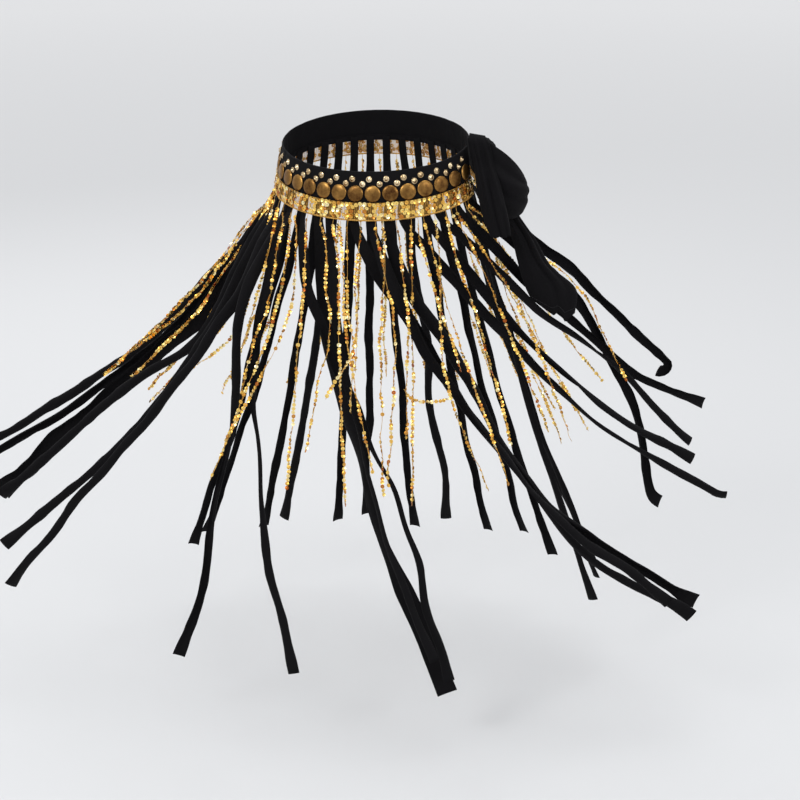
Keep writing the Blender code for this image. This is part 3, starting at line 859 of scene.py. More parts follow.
# %% The stitches that hold the net
def zigzag_stitches():
    """A zigzag of gold thread over the net's top edge: depth as a triangle wave of the arc."""
    start, end = arc_at(RING_START, TRIM_TOP) + 0.002, arc_at(RING_END, TRIM_TOP) - 0.002
    arc = np.arange(start, end, 0.0015)
    down = TRIM_TOP + 0.0004 + 0.0018 * (np.arange(len(arc)) % 2)
    points = skin(deg_at(arc, TRIM_TOP), down, 0.0019)
    return threads("trim_stitches", [points[None]], 0.00024, 4, gold_thread)


trim_stitches = zigzag_stitches()
print("zigzag over the net's top edge")

# %% The trim's sequins
SEQUIN_ROWS = [
    # depth below the band's top, which of the three places in a window's width are filled
    (0.0485, (1, 1, 1)),
    (0.0535, (1, 0, 1)),
    (0.0590, (1, 0, 1)),
    (0.0640, (1, 1, 1)),
    (0.0680, (1, 0, 1)),
]
WINDOW = 0.021


def trim_sequins():
    """Rows of sequins a third of a window apart, with the window's own places left bare."""
    pick = np.random.default_rng(21)
    start, end = arc_at(RING_START, TRIM_MIDDLE) + 0.004, arc_at(RING_END, TRIM_MIDDLE) - 0.004
    arcs, downs = [], []
    for k, (down, filled) in enumerate(SEQUIN_ROWS):
        arc = np.arange(start, end, WINDOW / 3)
        use = np.array(filled)[np.arange(len(arc)) % 3] == 1
        shift = 0.0012 if k % 2 else -0.0012
        arcs.append(arc[use] + shift)
        downs.append(np.full(use.sum(), down))
    arc = np.clip(np.concatenate(arcs) + pick.normal(0, 0.0007, sum(map(len, arcs))), start, end)
    down = np.concatenate(downs) + pick.normal(0, 0.0006, len(arc))
    deg = deg_at(arc, TRIM_MIDDLE)
    out = SEAM_GAP + 0.0021 + pick.uniform(0, 0.0012, len(arc))
    middles = skin(deg, down, out)
    normals = unit(skin(deg, down, out + 0.001) - middles) + pick.normal(0, 0.16, (len(arc), 3))
    return scatter_sequins("trim_sequins", middles, normals, 0.0032, 22, 10)


spangles = trim_sequins()
trim_length = float(arc_at(RING_END, TRIM_MIDDLE) - arc_at(RING_START, TRIM_MIDDLE))
print(len(spangles.data.polygons) // 40, "sequins on it")

# %% [markdown]
# ## Where the strands hang
# The belt is caught mid-swing, so the front strands fly in wide curves. Each was laid out on the
# drawing grid, as places across and down with a depth towards the eye in millimetres, and a
# smooth curve goes through them. The strands behind hang plainly, standing off as they fall.

# %% Curves through the drawn places
def drawn(place):
    """The point in metres of a place on the drawing grid, where its ray meets its depth."""
    across, down, nearer = place
    ray = LOOK * GRID_REACH + SIDE * (across - GRID_MIDDLE) - OVER * (down - GRID_MIDDLE)
    reach = (nearer / 1000 - EYE.dot(TOWARD)) / ray.dot(TOWARD)
    return np.array(EYE + ray * reach)


def smooth_path(points, count, kept=0):
    """Cubic curve through the points, with slopes from their neighbours, evenly spaced.

    The first few points may be kept as they are given.
    """
    points = np.asarray(points, float)
    chord = np.sqrt(np.linalg.norm(np.diff(points, axis=0), axis=1))
    knots = np.concatenate([[0.0], np.cumsum(chord)])
    slopes = np.gradient(points, knots, axis=0)
    t = np.linspace(0.0, 1.0, 40)[None, :, None]
    span = np.diff(knots)[:, None, None]
    parts = (
        (2 * t**3 - 3 * t**2 + 1) * points[:-1, None]
        + (t**3 - 2 * t**2 + t) * span * slopes[:-1, None]
        + (3 * t**2 - 2 * t**3) * points[1:, None]
        + (t**3 - t**2) * span * slopes[1:, None]
    )
    dense = np.concatenate([parts[kept, :1], parts[kept:, 1:].reshape(-1, 3)])
    far = run_length(dense)
    wanted = np.linspace(0.0, far[-1], count - kept)
    spread = np.stack([np.interp(wanted, far, dense[:, k]) for k in range(3)], axis=1)
    return np.concatenate([points[:kept], spread])


def hanging(root, deg, swing, flare, length, count):
    """A plain hang from a root: out by flare times the fall, and round by swing degrees."""
    share = np.linspace(0.0, 1.0, count)
    turn = np.radians(deg + swing * share)
    out = np.stack([np.sin(turn) * 1.15, -np.cos(turn), np.zeros(count)], axis=1)
    along = length / 1000 / math.hypot(1.0, flare)
    bend = flare * along * (share * 0.75 + share**2 * 0.25)
    path = np.array(root)[None, :] + out * bend[:, None]
    path[:, 2] -= along * share
    return path


print("a place on the grid:", drawn((400, 400, 0)).round(3))

# %% The tables of drawn strands
GOLD = [
    # root angle, then upper, middle and end places on the grid
    (-105, (253, 217, -84), (213, 268, -86), (118, 364, -102)),
    (-97.5, (246, 230, -62), (190, 302, -64), (104, 374, -84)),
    (-90, (249, 234, -32), (200, 308, -18), (130, 378, -36)),
    (-82, (252, 238, -6), (208, 322, -18), (148, 390, -24)),
    (-74, (256, 250, 26), (224, 322, 28), (150, 402, 14)),
    (-65.5, (262, 252, 52), (236, 330, 64), (184, 376, 66)),
    (-55, (269, 250, 116), (250, 320, 110), (231, 380, 118)),
    (-48, (281, 236, 114), (270, 290, 140), (240, 394, 170)),
    (-38.5, (289, 238, 122), (279, 300, 152), (211, 480, 206)),
    (-35, (297, 240, 132), (287, 320, 174), (226, 440, 224)),
    (-25.5, (306, 252, 142), (300, 330, 190), (287, 489, 252)),
    (-16.5, (326, 246, 150), (326, 350, 208), (303, 452, 248)),
    (-8.5, (338, 262, 156), (339, 352, 214), (345, 505, 270)),
    (-4, (342, 250, 166), (346, 330, 222), (372, 474, 286)),
    (0, (347, 262, 158), (351, 345, 204), (353, 410, 236)),
    (7.5, (357, 262, 170), (352, 350, 238), (326, 400, 264)),
    (15.5, (380, 250, 172), (394, 330, 214), (388, 488, 290)),
    (19, (385, 240, 152), (381, 340, 200), (383, 497, 262)),
    (27, (400, 246, 146), (408, 340, 200), (405, 438, 250)),
    (35.5, (411, 250, 136), (413, 350, 186), (412, 506, 240)),
    (39.5, (420, 240, 136), (438, 300, 168), (462, 372, 196)),
    (43, (434, 258, 130), (460, 345, 170), (510, 486, 252)),
    (50, (440, 268, 120), (446, 380, 204), (489, 492, 234)),
    (58, (457, 258, 110), (484, 340, 140), (512, 446, 190)),
    (62.5, (466, 236, 102), (500, 310, 130), (549, 432, 150)),
    (66.5, (476, 240, 90), (524, 318, 112), (572, 442, 132)),
    (76, (502, 248, 15), (550, 316, -20), (602, 380, -50)),
    (79.5, (514, 234, 18), (580, 291, 10), (626, 382, 36)),
]
BACK_GOLD = [
    # root angle, swing in degrees, flare, length in mm
    (113.5, 6, 0.30, 450),
    (123, -2, 0.42, 460),
    (133, 2, 0.46, 455),
    (143, -2, 0.43, 470),
    (153, 2, 0.46, 460),
    (163, -2, 0.43, 450),
    (173, 2, 0.45, 465),
    (183, -1, 0.42, 455),
    (193, 2, 0.45, 470),
    (203, -1, 0.42, 450),
    (213, 2, 0.45, 460),
    (223, -2, 0.43, 465),
    (233.5, 2, 0.46, 450),
    (244.5, -2, 0.44, 460),
]
print(len(GOLD) + len(BACK_GOLD), "gold strands")

# %% [markdown]
# ## The gold fringe
# A thin two-ply cord edges the trim, and the strands hang from it: a gold thread, bare for the
# first centimetre, then sequins threaded along it. They sit at every angle and bunch up, with
# bare gaps between, so each strand glints in places. On the first five strands, which trail
# the swing in a bunch, they are crowded. One loose length has caught between two strands and
# hangs in a curve. Spacing, tilt and gaps come from seeded random numbers, so they are the
# same each time.

# %% The edging cord
def edging_cord():
    """Two plies wound round a centre line under the trim: a circle carried along it."""
    deg = np.linspace(RING_START, RING_END, 900)
    arc = arc_at(deg, BELT_HEIGHT)
    phase = 2 * np.pi * arc / 0.0062
    plies = []
    for half in (0.0, np.pi):
        down = BELT_HEIGHT + 0.0021 + 0.00075 * np.sin(phase + half)
        plies.append(skin(deg, down, 0.0013 + 0.00075 * np.cos(phase + half)))
    return threads("edging_cord", [np.array(plies)], 0.00085, 6, gold_cord)


cord = edging_cord()
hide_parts("gold_fringe")
print("cord", round(float(arc_at(RING_END, BELT_HEIGHT) - arc_at(RING_START, BELT_HEIGHT)), 3), "m round")

# %% The strands' threads
def gold_paths(count):
    """Centre line of every gold strand, from the cord to its end."""
    front, back = [], []
    for root, upper, middle, end in GOLD:
        head = skin(root, BELT_HEIGHT + 0.0028, 0.0014)
        neck = skin(root, BELT_HEIGHT + 0.012, 0.0035)
        front.append(smooth_path([head, neck, drawn(upper), drawn(middle), drawn(end)], count))
    for root, swing, flare, length in BACK_GOLD:
        head = skin(root, BELT_HEIGHT + 0.0028, 0.0014)
        neck = skin(root, BELT_HEIGHT + 0.012, 0.0035)
        path = hanging(neck, root, swing, flare, length, 6)
        back.append(smooth_path([head, *path], count))
    return np.array(front), np.array(back)


def swayed(paths, size, seed, waves=(0.16, 0.07, 0.035)):
    """A small uneven sway in a few wavelengths, nought at the root, the longest the widest."""
    pick = np.random.default_rng(seed)
    run = run_length(paths, 1)
    grow = np.clip(run / 0.15, 0, 1)
    offset = np.zeros_like(paths)
    for wave in waves:
        phase = pick.uniform(0, 2 * np.pi, (len(paths), 3))
        way = pick.normal(0, 1, (len(paths), 3))
        swing = np.sin(2 * np.pi * run[..., None] / wave + phase[:, None, :])
        offset += swing * way[:, None, :] * size * wave / waves[0]
    return paths + offset * grow[..., None]


STRAND_POINTS = 72
CAUGHT = [
    # places along a loose length that has caught between two strands
    (404, 389, 214),
    (409, 397, 213),
    (419, 401.5, 207),
    (431, 402, 204),
    (441, 401, 201),
    (449, 399, 197),
]
front_gold, back_gold = gold_paths(STRAND_POINTS)
front_gold = swayed(front_gold, 0.0016, 31)
caught = smooth_path([drawn(place) for place in CAUGHT], STRAND_POINTS)
front_gold = np.concatenate([front_gold, caught[None]])
back_gold = swayed(back_gold, 0.0012, 32)
strand_threads = threads("strand_threads", [front_gold, back_gold], 0.00036, 4, gold_thread)
strand_lengths = run_length(front_gold, 1)[:, -1]
print("strand lengths", strand_lengths.min().round(2), "to", strand_lengths.max().round(2))

# %% The strands' sequins
# metres between sequins, share of places left bare, how unevenly they lean, metres off the thread
LOOSE = (0.0060, 0.24, 0.22, 0.0004)
BUNCHED = (0.0033, 0.0, 0.40, 0.0013)


def strand_sequins(name, paths, seed, bunched=0):
    """Sequins every 6 mm along each thread, lightly tilted, a few places left bare.

    Their faces stand along the thread and turn round it by a slow uneven twist. The first few
    strands, as many as bunched says, carry nearly twice as many and none is missing.
    """
    pick = np.random.default_rng(seed)
    middles, normals = [], []
    for k, (path, far) in enumerate(zip(paths, run_length(paths, 1))):
        apart, bare_share, tumble, off = BUNCHED if k < bunched else LOOSE
        along = np.arange(0.012, far[-1], apart)
        along += pick.normal(0, 0.0006, len(along))
        luck = np.convolve(pick.uniform(0, 1, len(along) + 3), np.ones(4) / 4, "valid")
        along = np.clip(along[luck >= bare_share], 0, far[-1])
        place = np.stack([np.interp(along, far, path[:, n]) for n in range(3)], 1)
        slope = [np.interp(along, far, np.gradient(path[:, n], far)) for n in range(3)]
        ahead = unit(np.stack(slope, 1))
        out = unit(np.cross(ahead, [0.3, 0.2, 0.9]))
        side = np.cross(ahead, out)
        start, slow = pick.uniform(0, 6.3), np.sin(along * 24 + pick.uniform(0, 6))
        twist = start + 1.5 * slow + 0.6 * np.sin(along * 70)
        twist = (twist + pick.normal(0, 0.32, len(along)))[:, None]
        way = np.cos(twist) * out + np.sin(twist) * side
        lean = 0.10 + pick.normal(0, tumble, (len(along), 1))
        middles.append(place + way * off)
        normals.append(way + lean * ahead)
    return scatter_sequins(name, np.concatenate(middles), np.concatenate(normals), 0.0031, seed + 1, 10)


front_spangles = strand_sequins("strand_sequins_front", front_gold, 41, bunched=5)
back_spangles = strand_sequins("strand_sequins_back", back_gold, 43)
faces = len(front_spangles.data.polygons) + len(back_spangles.data.polygons)
print(faces // 40, "sequins on the strands")

# %% [markdown]
# ## The jersey strips
# Jersey cut along its ribs rolls up at its edges when it is pulled, so each strip is a curled
# ribbon: a gutter near the belt, opening to a flat square-cut end. The section's angle grows
# from the middle to the edges, and summing its sine and cosine across the cloth gives the
# curl without stretching it. A thin wall is then added with Solidify. The roll varies along a
# strip, and the two widest keep only part of it. One strip ends in a hook and two in a slight
# bend, made by turning the last steps of their path.

# %% The tables of drawn strips
STRIPS = [
    # root angle, seen width on the grid, turn from root to end, then knee, middle, low and end places
    (-101, 16, 60, (249, 236, -88), (178, 312, -122), (90, 383, -156), (-38, 456, -196)),
    (-94, 14, -60, (242, 252, -55), (170, 330, -85.5), (84, 398, -118), (-30, 466, -150)),
    (-86, 22, 50, (240, 266, -21), (168, 346, -49), (95, 406, -74), (2, 492, -96)),
    (-78, 15, 90, (246, 254, 10), (206, 330, 2), (125, 390, -24), (0, 497, -56)),
    (-70.5, 14, -90, (244, 268, 46), (196, 352, 40), (122, 444, 20), (4, 545, 0)),
    (-61, 14, 80, (246, 280, 96), (186, 372, 80), (116, 456, 66), (10, 584, 44)),
    (-52, 13, 200, (252, 282, 112), (238, 352, 124), (222, 490, 160), (181, 655, 190)),
    (-44, 12, -160, (271, 260, 114), (257, 352, 150), (261, 500, 206), (292, 674, 262)),
    (-31, 11, 180, (304, 256, 126), (325, 340, 170), (392, 490, 220), (450, 680, 280)),
    (-20, 20, -120, (326, 285, 122), (335, 350, 148), (374, 516, 200), (449, 694, 262)),
    (-13, 10, 130, (333, 272, 138), (340, 345, 190), (386, 540, 246), (434, 662, 304)),
    (3, 15, 150, (376, 268, 138), (438, 366, 172), (584, 551, 204), (692, 619, 210)),
    (12, 13, -100, (386, 268, 151), (414, 330, 182.5), (550, 508, 221), (670, 604, 254)),
    (23, 15, 170, (397, 262, 130), (458, 364, 150), (557, 512, 171), (694, 598, 174)),
    (31, 12, 140, (430, 253, 112), (490, 319, 112), (590, 418, 96), (724, 499, 70)),
    (46, 12, -140, (451, 251, 94), (512, 322, 90), (596, 400, 60), (693, 460, 0)),
    (54, 10, 120, (467, 243, 80), (530, 302, 80), (610, 364, 30), (692, 443, -60)),
    (70, 12, -90, (490, 244, 38), (556, 306, 8), (628, 369, -40), (703, 404, -120)),
    (86, 14, 80, (514, 240, 4), (582, 308, -20), (626, 392, -50), (655, 503, -90)),
    (106, 14, 55, (520, 230, -40), (572, 270, -84), (630, 328, -140), (672, 366, -210)),
]
BACK_STRIPS = [
    # root angle, swing in degrees, flare, length in mm
    (118, 2, 0.27, 780),
    (128, -2, 0.31, 770),
    (138, 2, 0.36, 790),
    (148, -2, 0.31, 780),
    (158, 3, 0.36, 785),
    (168, -2, 0.31, 770),
    (178, 2, 0.35, 790),
    (188, -2, 0.30, 780),
    (198, 2, 0.35, 785),
    (208, -2, 0.31, 775),
    (218, 2, 0.36, 790),
    (228, -2, 0.32, 780),
    (239, 2, 0.37, 785),
    (250, -2, 0.33, 775),
]
print(len(STRIPS) + len(BACK_STRIPS), "strips")

# %% A curled strip as a surface
HEAD_DOWN = 0.0425
TAPE_IN = -BAND_WALL - 0.0031
TRIM_IN = -BAND_WALL - 0.0014
OPEN_STRIPS = {
    # strip number: the share of the roll that is left in it
    3: 0.55,
    10: 0.30,
}
HOOKED_STRIPS = {
    # strip number: metres longer, metres of bend at its end, degrees that it bends
    20: (0.018, 0.034, -150.0),
    15: (0.0, 0.020, 35.0),
    19: (0.006, 0.030, 40.0),
}


def hooked(path, longer, reach, bend):
    """The path made longer, and its last stretch bent round in the drawing grid's plane.

    Each step's direction d turns by an angle a about the axis k towards the eye:
    d cos a + (k x d) sin a.
    """
    step = path[-1] - path[-2]
    added = path[-1] + step * np.linspace(0.0, longer / np.linalg.norm(step), 9)[1:, None]
    whole = np.concatenate([path, added])
    far = run_length(whole)
    even = np.linspace(0.0, far[-1], len(path))
    whole = np.stack([np.interp(even, far, whole[:, k]) for k in range(3)], axis=1)
    steps = np.diff(whole, axis=0)
    angle = np.radians(bend) * np.clip((even[1:] - even[-1] + reach) / reach, 0.0, 1.0)[:, None]
    axis = np.array(TOWARD)[None, :]
    turned_steps = steps * np.cos(angle) + np.cross(axis, steps) * np.sin(angle)
    return np.concatenate([whole[:1], whole[:1] + np.cumsum(turned_steps, axis=0)])


FLAT_HEAD = 0.035
ROLL_IN = 0.085
FIRST_ROLL = 2.0
FULL_ROLL = 1.6
ROLL_PER_METRE = 110.0


def curled_strip(path, cut, head, turn, faced_to_grid, seed, left=1.0, columns=11):
    """Points (along, across): path + across * cos sum + depth * sin sum, with the curl centred.

    The direction across swings round by about turn degrees on the way down, to end broad side
    out, and a drawn strip turns its flat side to the drawing grid within its first 12 cm. The
    roll grows to 2 radians by 12 cm, then to more in a wider cut, times the share that is left.
    The cloth is gathered to the head's width where it is sewn on.
    """
    pick = np.random.default_rng(seed)
    ahead = unit(np.gradient(path, axis=0))
    far = run_length(path)
    begun = np.clip((far - FLAT_HEAD) / ROLL_IN, 0.0, 1.0)
    faced = begun[:, None] * faced_to_grid
    out = unit(path * np.array([1.0, 1.8, 0.0])) * (1 - faced) + np.array(TOWARD) * faced
    out = unit(out - (out * ahead).sum(axis=1, keepdims=True) * ahead)
    side = np.cross(ahead, out)
    share = far / far[-1]
    broad = 180.0 * round(turn / 180.0) + pick.uniform(-25, 25)
    angle = np.radians(broad) * np.clip((share - 0.3) / 0.6, 0.0, 1.0)
    ripple = np.sin(2 * np.pi * far / pick.uniform(0.16, 0.26) + pick.uniform(0, 6))
    angle = angle + 0.25 * ripple * np.clip((far - 0.08) / 0.2, 0, 1)
    wide_way = side * np.cos(angle)[:, None] + out * np.sin(angle)[:, None]
    deep_way = np.cross(ahead, wide_way) * (1 if pick.uniform() < 0.5 else -1)
    rolled = FULL_ROLL + ROLL_PER_METRE * cut
    curl = FIRST_ROLL * begun
    curl += (rolled - FIRST_ROLL) * np.clip((far - FLAT_HEAD - ROLL_IN) / 0.25, 0, 1)
    waves = ((0.12, 33), (0.08, 92), (0.05, 171))
    uneven = sum(size * np.sin(far * pace + pick.uniform(0, 6)) for size, pace in waves)
    curl *= left * (1 + uneven * np.clip(far / 0.1, 0, 1))
    curl = curl * (1 - 0.75 * np.clip((share - 0.94) / 0.06, 0, 1))
    t = np.linspace(-0.5, 0.5, columns)
    bent = curl[:, None] * (0.6 * t + 0.4 * np.sign(t) * np.abs(2 * t) ** 3 / 2)
    step = np.diff(t)
    lift = np.cumsum((np.sin(bent[:, 1:]) + np.sin(bent[:, :-1])) / 2 * step, axis=1)
    reach = np.cumsum((np.cos(bent[:, 1:]) + np.cos(bent[:, :-1])) / 2 * step, axis=1)
    lift = np.concatenate([np.zeros((len(path), 1)), lift], axis=1)
    reach = np.concatenate([np.zeros((len(path), 1)), reach], axis=1)
    lift -= lift.mean(axis=1, keepdims=True)
    reach -= reach[:, -1:] / 2
    wide = (head + (cut - head) * np.clip((far - 0.045) / 0.08, 0, 1))[:, None, None]
    section = reach[..., None] * wide_way[:, None] + lift[..., None] * deep_way[:, None]
    return path[:, None] + wide * section


print("curled strip ready")

# %% Cutting and hanging every strip
CUT_UNIT = 0.0016
BACK_CUT = 0.0200
STRIP_WALL = 0.0008
STRIP_POINTS = 112
STRIP_WAVE = 0.0022


def strip_places():
    """For each strip: the places its centre line goes through, its cut, turn and whether drawn."""
    made = []
    for root, wide, turn, *flight in STRIPS:
        head = skin(root, HEAD_DOWN, TAPE_IN)
        hem = skin(root, BELT_HEIGHT + 0.006, TRIM_IN)
        places = [head, hem] + [drawn(place) for place in flight]
        made.append((places, wide * CUT_UNIT, turn, True))
    for k, (root, swing, flare, length) in enumerate(BACK_STRIPS):
        head = skin(root, HEAD_DOWN, TAPE_IN)
        hem = skin(root, BELT_HEIGHT + 0.006, TRIM_IN)
        path = hanging(hem, root, swing, flare, length - 31, 7)
        made.append(([head, *path], BACK_CUT, 50 * (-1) ** k, False))
    return made


def head_widths():
    """How wide each strip's head may be: 0.84 of the way to its nearest neighbour's root."""
    roots = np.array([row[0] for row in STRIPS] + [row[0] for row in BACK_STRIPS], float)
    arc = arc_at(np.where(roots > 115.0, roots - 360.0, roots), BELT_HEIGHT)
    apart = np.abs(arc[:, None] - arc[None, :])
    apart[apart < 1e-6] = 9.0
    return 0.84 * apart.min(axis=1)


def add_wall(piece, thick):
    """Half the cloth's thickness to each side of a sheet."""
    wall = piece.modifiers.new("cloth", "SOLIDIFY")
    wall.thickness = thick
    wall.offset = 0.0


def waved(path, size, seed):
    """Slow waves square to the path, nought near the belt and growing towards its end."""
    return swayed(path[None], size, seed, (0.30, 0.13))[0]


strip_pieces = []
heads = head_widths()
for k, (places, cut, turn, is_drawn) in enumerate(strip_places()):
    path = waved(smooth_path(places, STRIP_POINTS), STRIP_WAVE, 100 + k)
    if k + 1 in HOOKED_STRIPS:
        path = hooked(path, *HOOKED_STRIPS[k + 1])
    head = min(0.62 * cut, float(heads[k]))
    points = curled_strip(path, cut, head, turn, is_drawn, 200 + k, OPEN_STRIPS.get(k + 1, 1.0))
    length = float(run_length(path)[-1])
    across = np.linspace(0, cut, points.shape[1])
    strip = grid_piece(f"strip_{k + 1:02d}", points, jersey, False, across, run_length(path))
    add_wall(strip, STRIP_WALL)
    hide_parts("strip_fringe")
    strip_pieces.append((strip.name, round(cut * 1000, 1), round(length, 3)))
print(strip_pieces[0], "to", strip_pieces[-1])

# %% [markdown]
# ## The tape
# Loose strips can't be sewn to a band one by one and stay even, so they are first stitched side
# by side to a narrow tape. It is a second thin wall round the ring, inside the band, and takes
# the band's own puckers, so the two never cross.

# %% The tape that the strips are sewn to
TAPE_TOP = 0.0400
TAPE_WIDTH = 0.0090
TAPE_WALL = 0.0012
tape_profile = rounded_wall(TAPE_WIDTH, TAPE_WALL, 5, 2) + np.array([TAPE_TOP, -BAND_WALL - SEAM_GAP])
tape, tape_arc = ring_wall("strip_tape", tape_profile, 420, band_troughs, tape_jersey)
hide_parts("strip_fringe")
print("tape 9 mm x", round(float(np.ptp(tape_arc)), 3), "m")

# %% [markdown]
# ## The tie
# The band's ends are knotted at one side in half a bow: a drooping loop, a short square end in
# front of it and a long end below, with a hem. Cloth pulled into a knot folds along the pull, so
# each part is a sheet between two edges with creases that fan out from the knot and fade. The
# long edges roll back a little, and the foot of each end is cut unevenly.

# %% The tie's tables
LOOP = [
    # one edge, other edge, belly in mm
    ((468, 141, 66), (475, 172, 66), 3),
    ((483, 140.5, 71), (481, 196, 70), 5),
    ((502, 151, 70), (495, 213, 68), 8),
    ((516, 164, 60), (511, 219, 60), 9),
    ((524, 177, 38), (523, 211, 40), 9),
    ((516, 172, 14), (516, 206, 16), 8),
    ((503, 163, 5), (502, 197, 5), 6),
    ((491, 161, 7.5), (490, 180, 7.5), 2),
]
SHORT_END = [
    ((472, 137.5, 49), (485, 138.5, 50), 0),
    ((470, 135.2, 57), (485.5, 137.0, 59), 0),
    ((469.5, 133.6, 65.5), (485, 136.4, 69.5), 0.5),
    ((469, 139, 73.5), (488, 142, 78.5), 1.5),
    ((471, 150, 75), (492, 153, 79.5), 3.5),
    ((474, 164, 76.8), (494, 166, 79.4), 3),
    ((476, 182, 84), (500, 184, 86), 4),
    ((479, 202, 88), (505, 202, 90), 4),
    ((484, 222, 92), (509, 220, 93), 3),
    ((491, 238, 94), (511, 236, 95), 2),
]
LONG_END = [
    ((481, 177.8, 36), (490, 177, 35), 2),
    ((487, 190, 34), (502, 188, 31), 3),
    ((494, 204, 36), (510, 202, 32), 4),
    ((503, 219, 42), (522, 219, 38), 5),
    ((511, 236, 46), (536, 238, 40), 6),
    ((517, 260, 50), (551, 264, 44), 7),
    ((524, 284, 54), (577, 290, 46), 6),
    ((533, 303, 56), (575, 315, 48), 4),
]
KNOT_PLACE = (484, 158, 42)
KNOT_HALF = (0.0223, 0.0308, 0.032)
CREASES = {
    # for each sheet: where across, lean, start and end along, width across, depth in mm
    "loop": [
        (0.22, 0.05, 0.14, 0.75, 0.06, 2.6),
        (0.42, -0.04, 0.16, 0.60, 0.07, -2.8),
        (0.60, 0.06, 0.14, 0.70, 0.06, 2.6),
        (0.80, -0.05, 0.16, 0.55, 0.07, -2.4),
        (0.50, 0.10, 0.45, 1.1, 0.09, 2.4),
    ],
    "short": [
        (0.14, 0.08, 0.16, 0.70, 0.05, 1.8),
        (0.34, 0.05, 0.14, 0.90, 0.07, 3.2),
        (0.57, -0.06, 0.42, 1.2, 0.07, -3.2),
        (0.76, 0.05, 0.14, 0.80, 0.08, 3.4),
        (0.86, -0.04, 0.70, 1.3, 0.07, -2.4),
    ],
    "long": [
        (0.25, 0.02, -0.1, 0.80, 0.07, 2.6),
        (0.45, 0.12, -0.1, 1.1, 0.06, -3.0),
        (0.66, 0.05, -0.1, 0.85, 0.07, 2.8),
        (0.85, -0.05, 0.2, 1.1, 0.07, -2.2),
    ],
}
SHORT_FOOT = [
    # where across the short end's foot, mm longer
    (0.0, -2.5),
    (0.22, 1.5),
    (0.45, -1.0),
    (0.70, 2.0),
    (1.0, -0.5),
]
TAILS = [
    # where across the long end's foot, mm longer
    (0.0, -6),
    (0.25, 5),
    (0.45, 11),
    (0.60, 1),
    (0.75, 15),
    (1.0, -3),
]
print("tie tables ready")

# %% Creased sheets
TIE_WALL = 0.0018


def sheet_between(rows, count, across, side):
    """Points from one edge's curve to the other's, bellied out between them like a half sine."""
    one = smooth_path([drawn(row[0]) for row in rows], count)
    other = smooth_path([drawn(row[1]) for row in rows], count)
    belly = np.interp(np.linspace(0, len(rows) - 1, count), range(len(rows)), [row[2] for row in rows])
    share = np.linspace(0.0, 1.0, across)[None, :, None]
    grid = one[:, None, :] * (1 - share) + other[:, None, :] * share
    bow = np.sin(np.pi * share) * belly[:, None, None] / 1000
    return grid + outward(grid) * bow * side


def creased(grid, table):
    """Adds bell-shaped ridges and troughs that run along the sheet, fading in and out."""
    rows, columns = grid.shape[:2]
    s = np.linspace(0, 1, rows)[:, None]
    t = np.linspace(0, 1, columns)[None, :]
    push = np.zeros((rows, columns))
    for where, lean, start, end, wide, depth in table:
        fade = np.clip((s - start) / 0.15, 0, 1) * np.clip((end - s) / 0.25, 0, 1)
        push += depth / 1000 * np.exp(-(((t - where - lean * s) / wide) ** 2)) * fade
    return grid + outward(grid) * push[..., None]


def edge_rolled(grid, depth, start):
    """Both long edges turned back by depth, most at the edge: depth * |2t - 1| ** 6, from start on."""
    rows, columns = grid.shape[:2]
    s = np.linspace(0, 1, rows)[:, None]
    t = np.linspace(0, 1, columns)[None, :]
    fade = np.clip((s - start) / 0.2, 0, 1) * (1 - 0.5 * np.clip((s - 0.85) / 0.15, 0, 1))
    return grid - outward(grid) * (depth * np.abs(2 * t - 1) ** 6 * fade)[..., None]


def footed(grid, table):
    """Lengthens the last fifth of a sheet by a table, which gives its foot the cut's own outline."""
    s = np.linspace(0, 1, grid.shape[0])[:, None]
    t = np.linspace(0, 1, grid.shape[1])
    longer = np.interp(t, *np.array(table).T)[None, :] / 1000
    ahead = unit(np.gradient(grid, axis=0))
    return grid + ahead * (longer * np.clip((s - 0.8) / 0.2, 0, 1) ** 2)[..., None]


def tie_sheet(name, node, grid):
    """A creased sheet with its own cut, thickened to doubled jersey."""
    widths = run_length(grid, 1)[:, -1]
    along = run_length(grid.mean(axis=1))
    cut = (float(widths.mean()), float(along[-1]))
    across = np.linspace(0, cut[0], grid.shape[1])
    piece = grid_piece(name, grid, jersey, False, across, along)
    add_wall(piece, TIE_WALL)
    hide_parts(node)
    print(name, "cut", round(cut[0], 3), "x", round(cut[1], 3), "m")
    return piece


loop = tie_sheet("bow_loop", "tie_loop", creased(sheet_between(LOOP, 110, 33, -1.0), CREASES["loop"]))
short_grid = edge_rolled(creased(sheet_between(SHORT_END, 70, 33, 1.0), CREASES["short"]), 0.0040, 0.52)
short_end = tie_sheet("short_end", "tie_end_short", footed(short_grid, SHORT_FOOT))
long_grid = creased(sheet_between(LONG_END, 80, 33, 1.0), CREASES["long"])
long_grid = footed(edge_rolled(long_grid, 0.004, 0.2), TAILS)
long_end = tie_sheet("long_end", "tie_end_long", long_grid)

# %% [markdown]
# ## Hem and knot
# The long end is hemmed with running stitches: short tubes of thread with gaps between, laid
# along one row of the sheet's own points, on both faces. The knot is an oval ball whose radius
# follows the highest of six wraps, each a rounded strap round its own axis, with shallow pleats.

# %% The long end's hem stitches
def running_stitches(name, line, stitch, gap, radius, finish):
    """Short tubes along a line of points: stitch metres of thread, then a gap, and again."""
    far = run_length(line)
    starts = np.arange(0.001, far[-1] - stitch, stitch + gap)
    along = starts[:, None] + np.linspace(0.0, stitch, 4)[None, :]
    paths = np.stack([np.interp(along, far, line[:, k]) for k in range(3)], axis=-1)
    piece = threads(name, [paths], radius, 4, finish)
    print(name, len(starts), "stitches")
    return piece


def hem_line(grid, share, lift):
    """The row of a sheet at that share of its length, moved off its middle by lift."""
    row = int(round(share * (len(grid) - 1)))
    return (grid + outward(grid) * lift)[row]


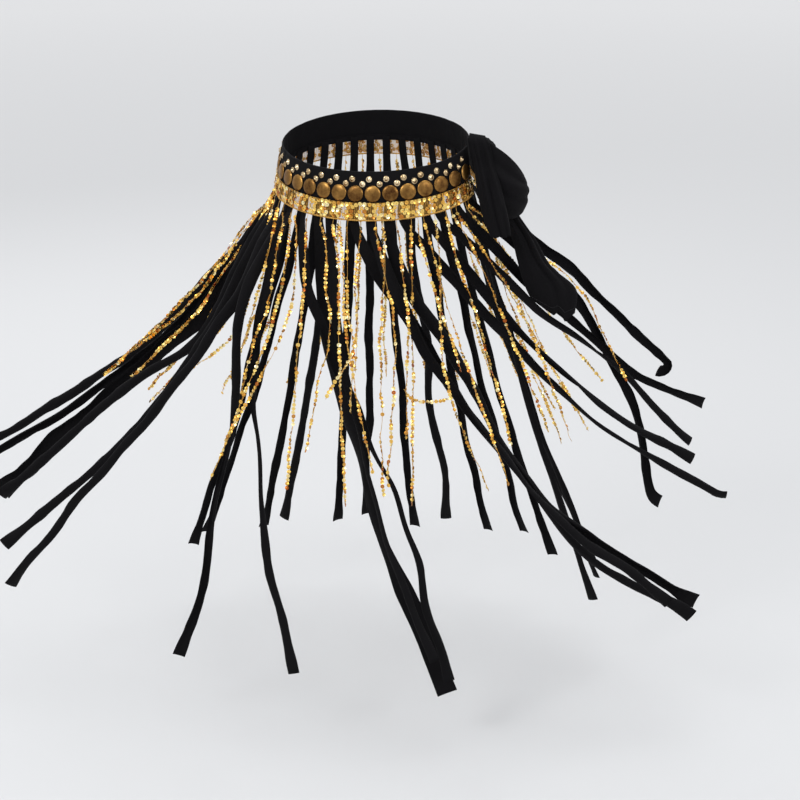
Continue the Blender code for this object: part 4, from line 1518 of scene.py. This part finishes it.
HEM_SHARE = 0.962
STITCH, STITCH_GAP, STITCH_THICK = 0.0024, 0.0012, 0.00022
for face, lift in (("front", 0.0010), ("back", -0.0010)):
    line = hem_line(long_grid, HEM_SHARE, lift)
    hem = running_stitches(f"hem_stitches_{face}", line, STITCH, STITCH_GAP, STITCH_THICK, black_thread)

# %% The knot
WRAPS = [
    # the way across a wrap as x, y, z, how far along it the wrap lies, half its width, height
    ((0.94, 0.34, 0.05), 0.10, 0.52, 1.00),
    ((0.62, 0.20, 0.76), 0.62, 0.36, 0.90),
    ((0.60, 0.25, -0.76), 0.64, 0.36, 0.92),
    ((0.92, 0.30, 0.25), -0.62, 0.34, 0.86),
    ((-0.30, 0.30, 0.90), 0.55, 0.30, 0.80),
    ((-0.25, 0.35, -0.90), 0.55, 0.30, 0.78),
]


def knot_ball(rows, columns):
    """An oval ball wound with wraps: its radius follows the highest wrap at each point.

    With d the distance of a direction along a wrap's own axis, less where it lies, the wrap is
    height * (1 - (d / half width) ** 4), and pleats are a cosine of d across it.
    """
    fall = np.linspace(0.05, np.pi - 0.05, rows)[:, None]
    turn = (np.arange(columns) * 2 * np.pi / columns)[None, :]
    way = np.stack([np.sin(fall) * np.cos(turn), np.sin(fall) * np.sin(turn), np.cos(fall) + 0 * turn], -1)
    highest = np.zeros((rows, columns))
    for axis, middle, half, height in WRAPS:
        d = way @ unit(np.array(axis)) - middle
        round_top = height * (1 - np.clip(np.abs(d) / half, 0, 1) ** 4)
        pleat = 0.10 * (0.5 - 0.5 * np.cos(2 * np.pi * d / 0.17 + 4 * way[..., 2] * height))
        highest = np.maximum(highest, round_top - pleat)
    size = 0.84 + 0.155 * highest
    return way * size[..., None] * np.array(KNOT_HALF) + drawn(KNOT_PLACE)


knot_points = knot_ball(64, 110)
knot = grid_piece("knot", knot_points, jersey, True, np.linspace(0, 0.16, 111), np.linspace(0, 0.1, 64))
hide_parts("tie_knot")
print("knot", (np.ptp(knot_points.reshape(-1, 3), axis=0) * 1000).round(1), "mm")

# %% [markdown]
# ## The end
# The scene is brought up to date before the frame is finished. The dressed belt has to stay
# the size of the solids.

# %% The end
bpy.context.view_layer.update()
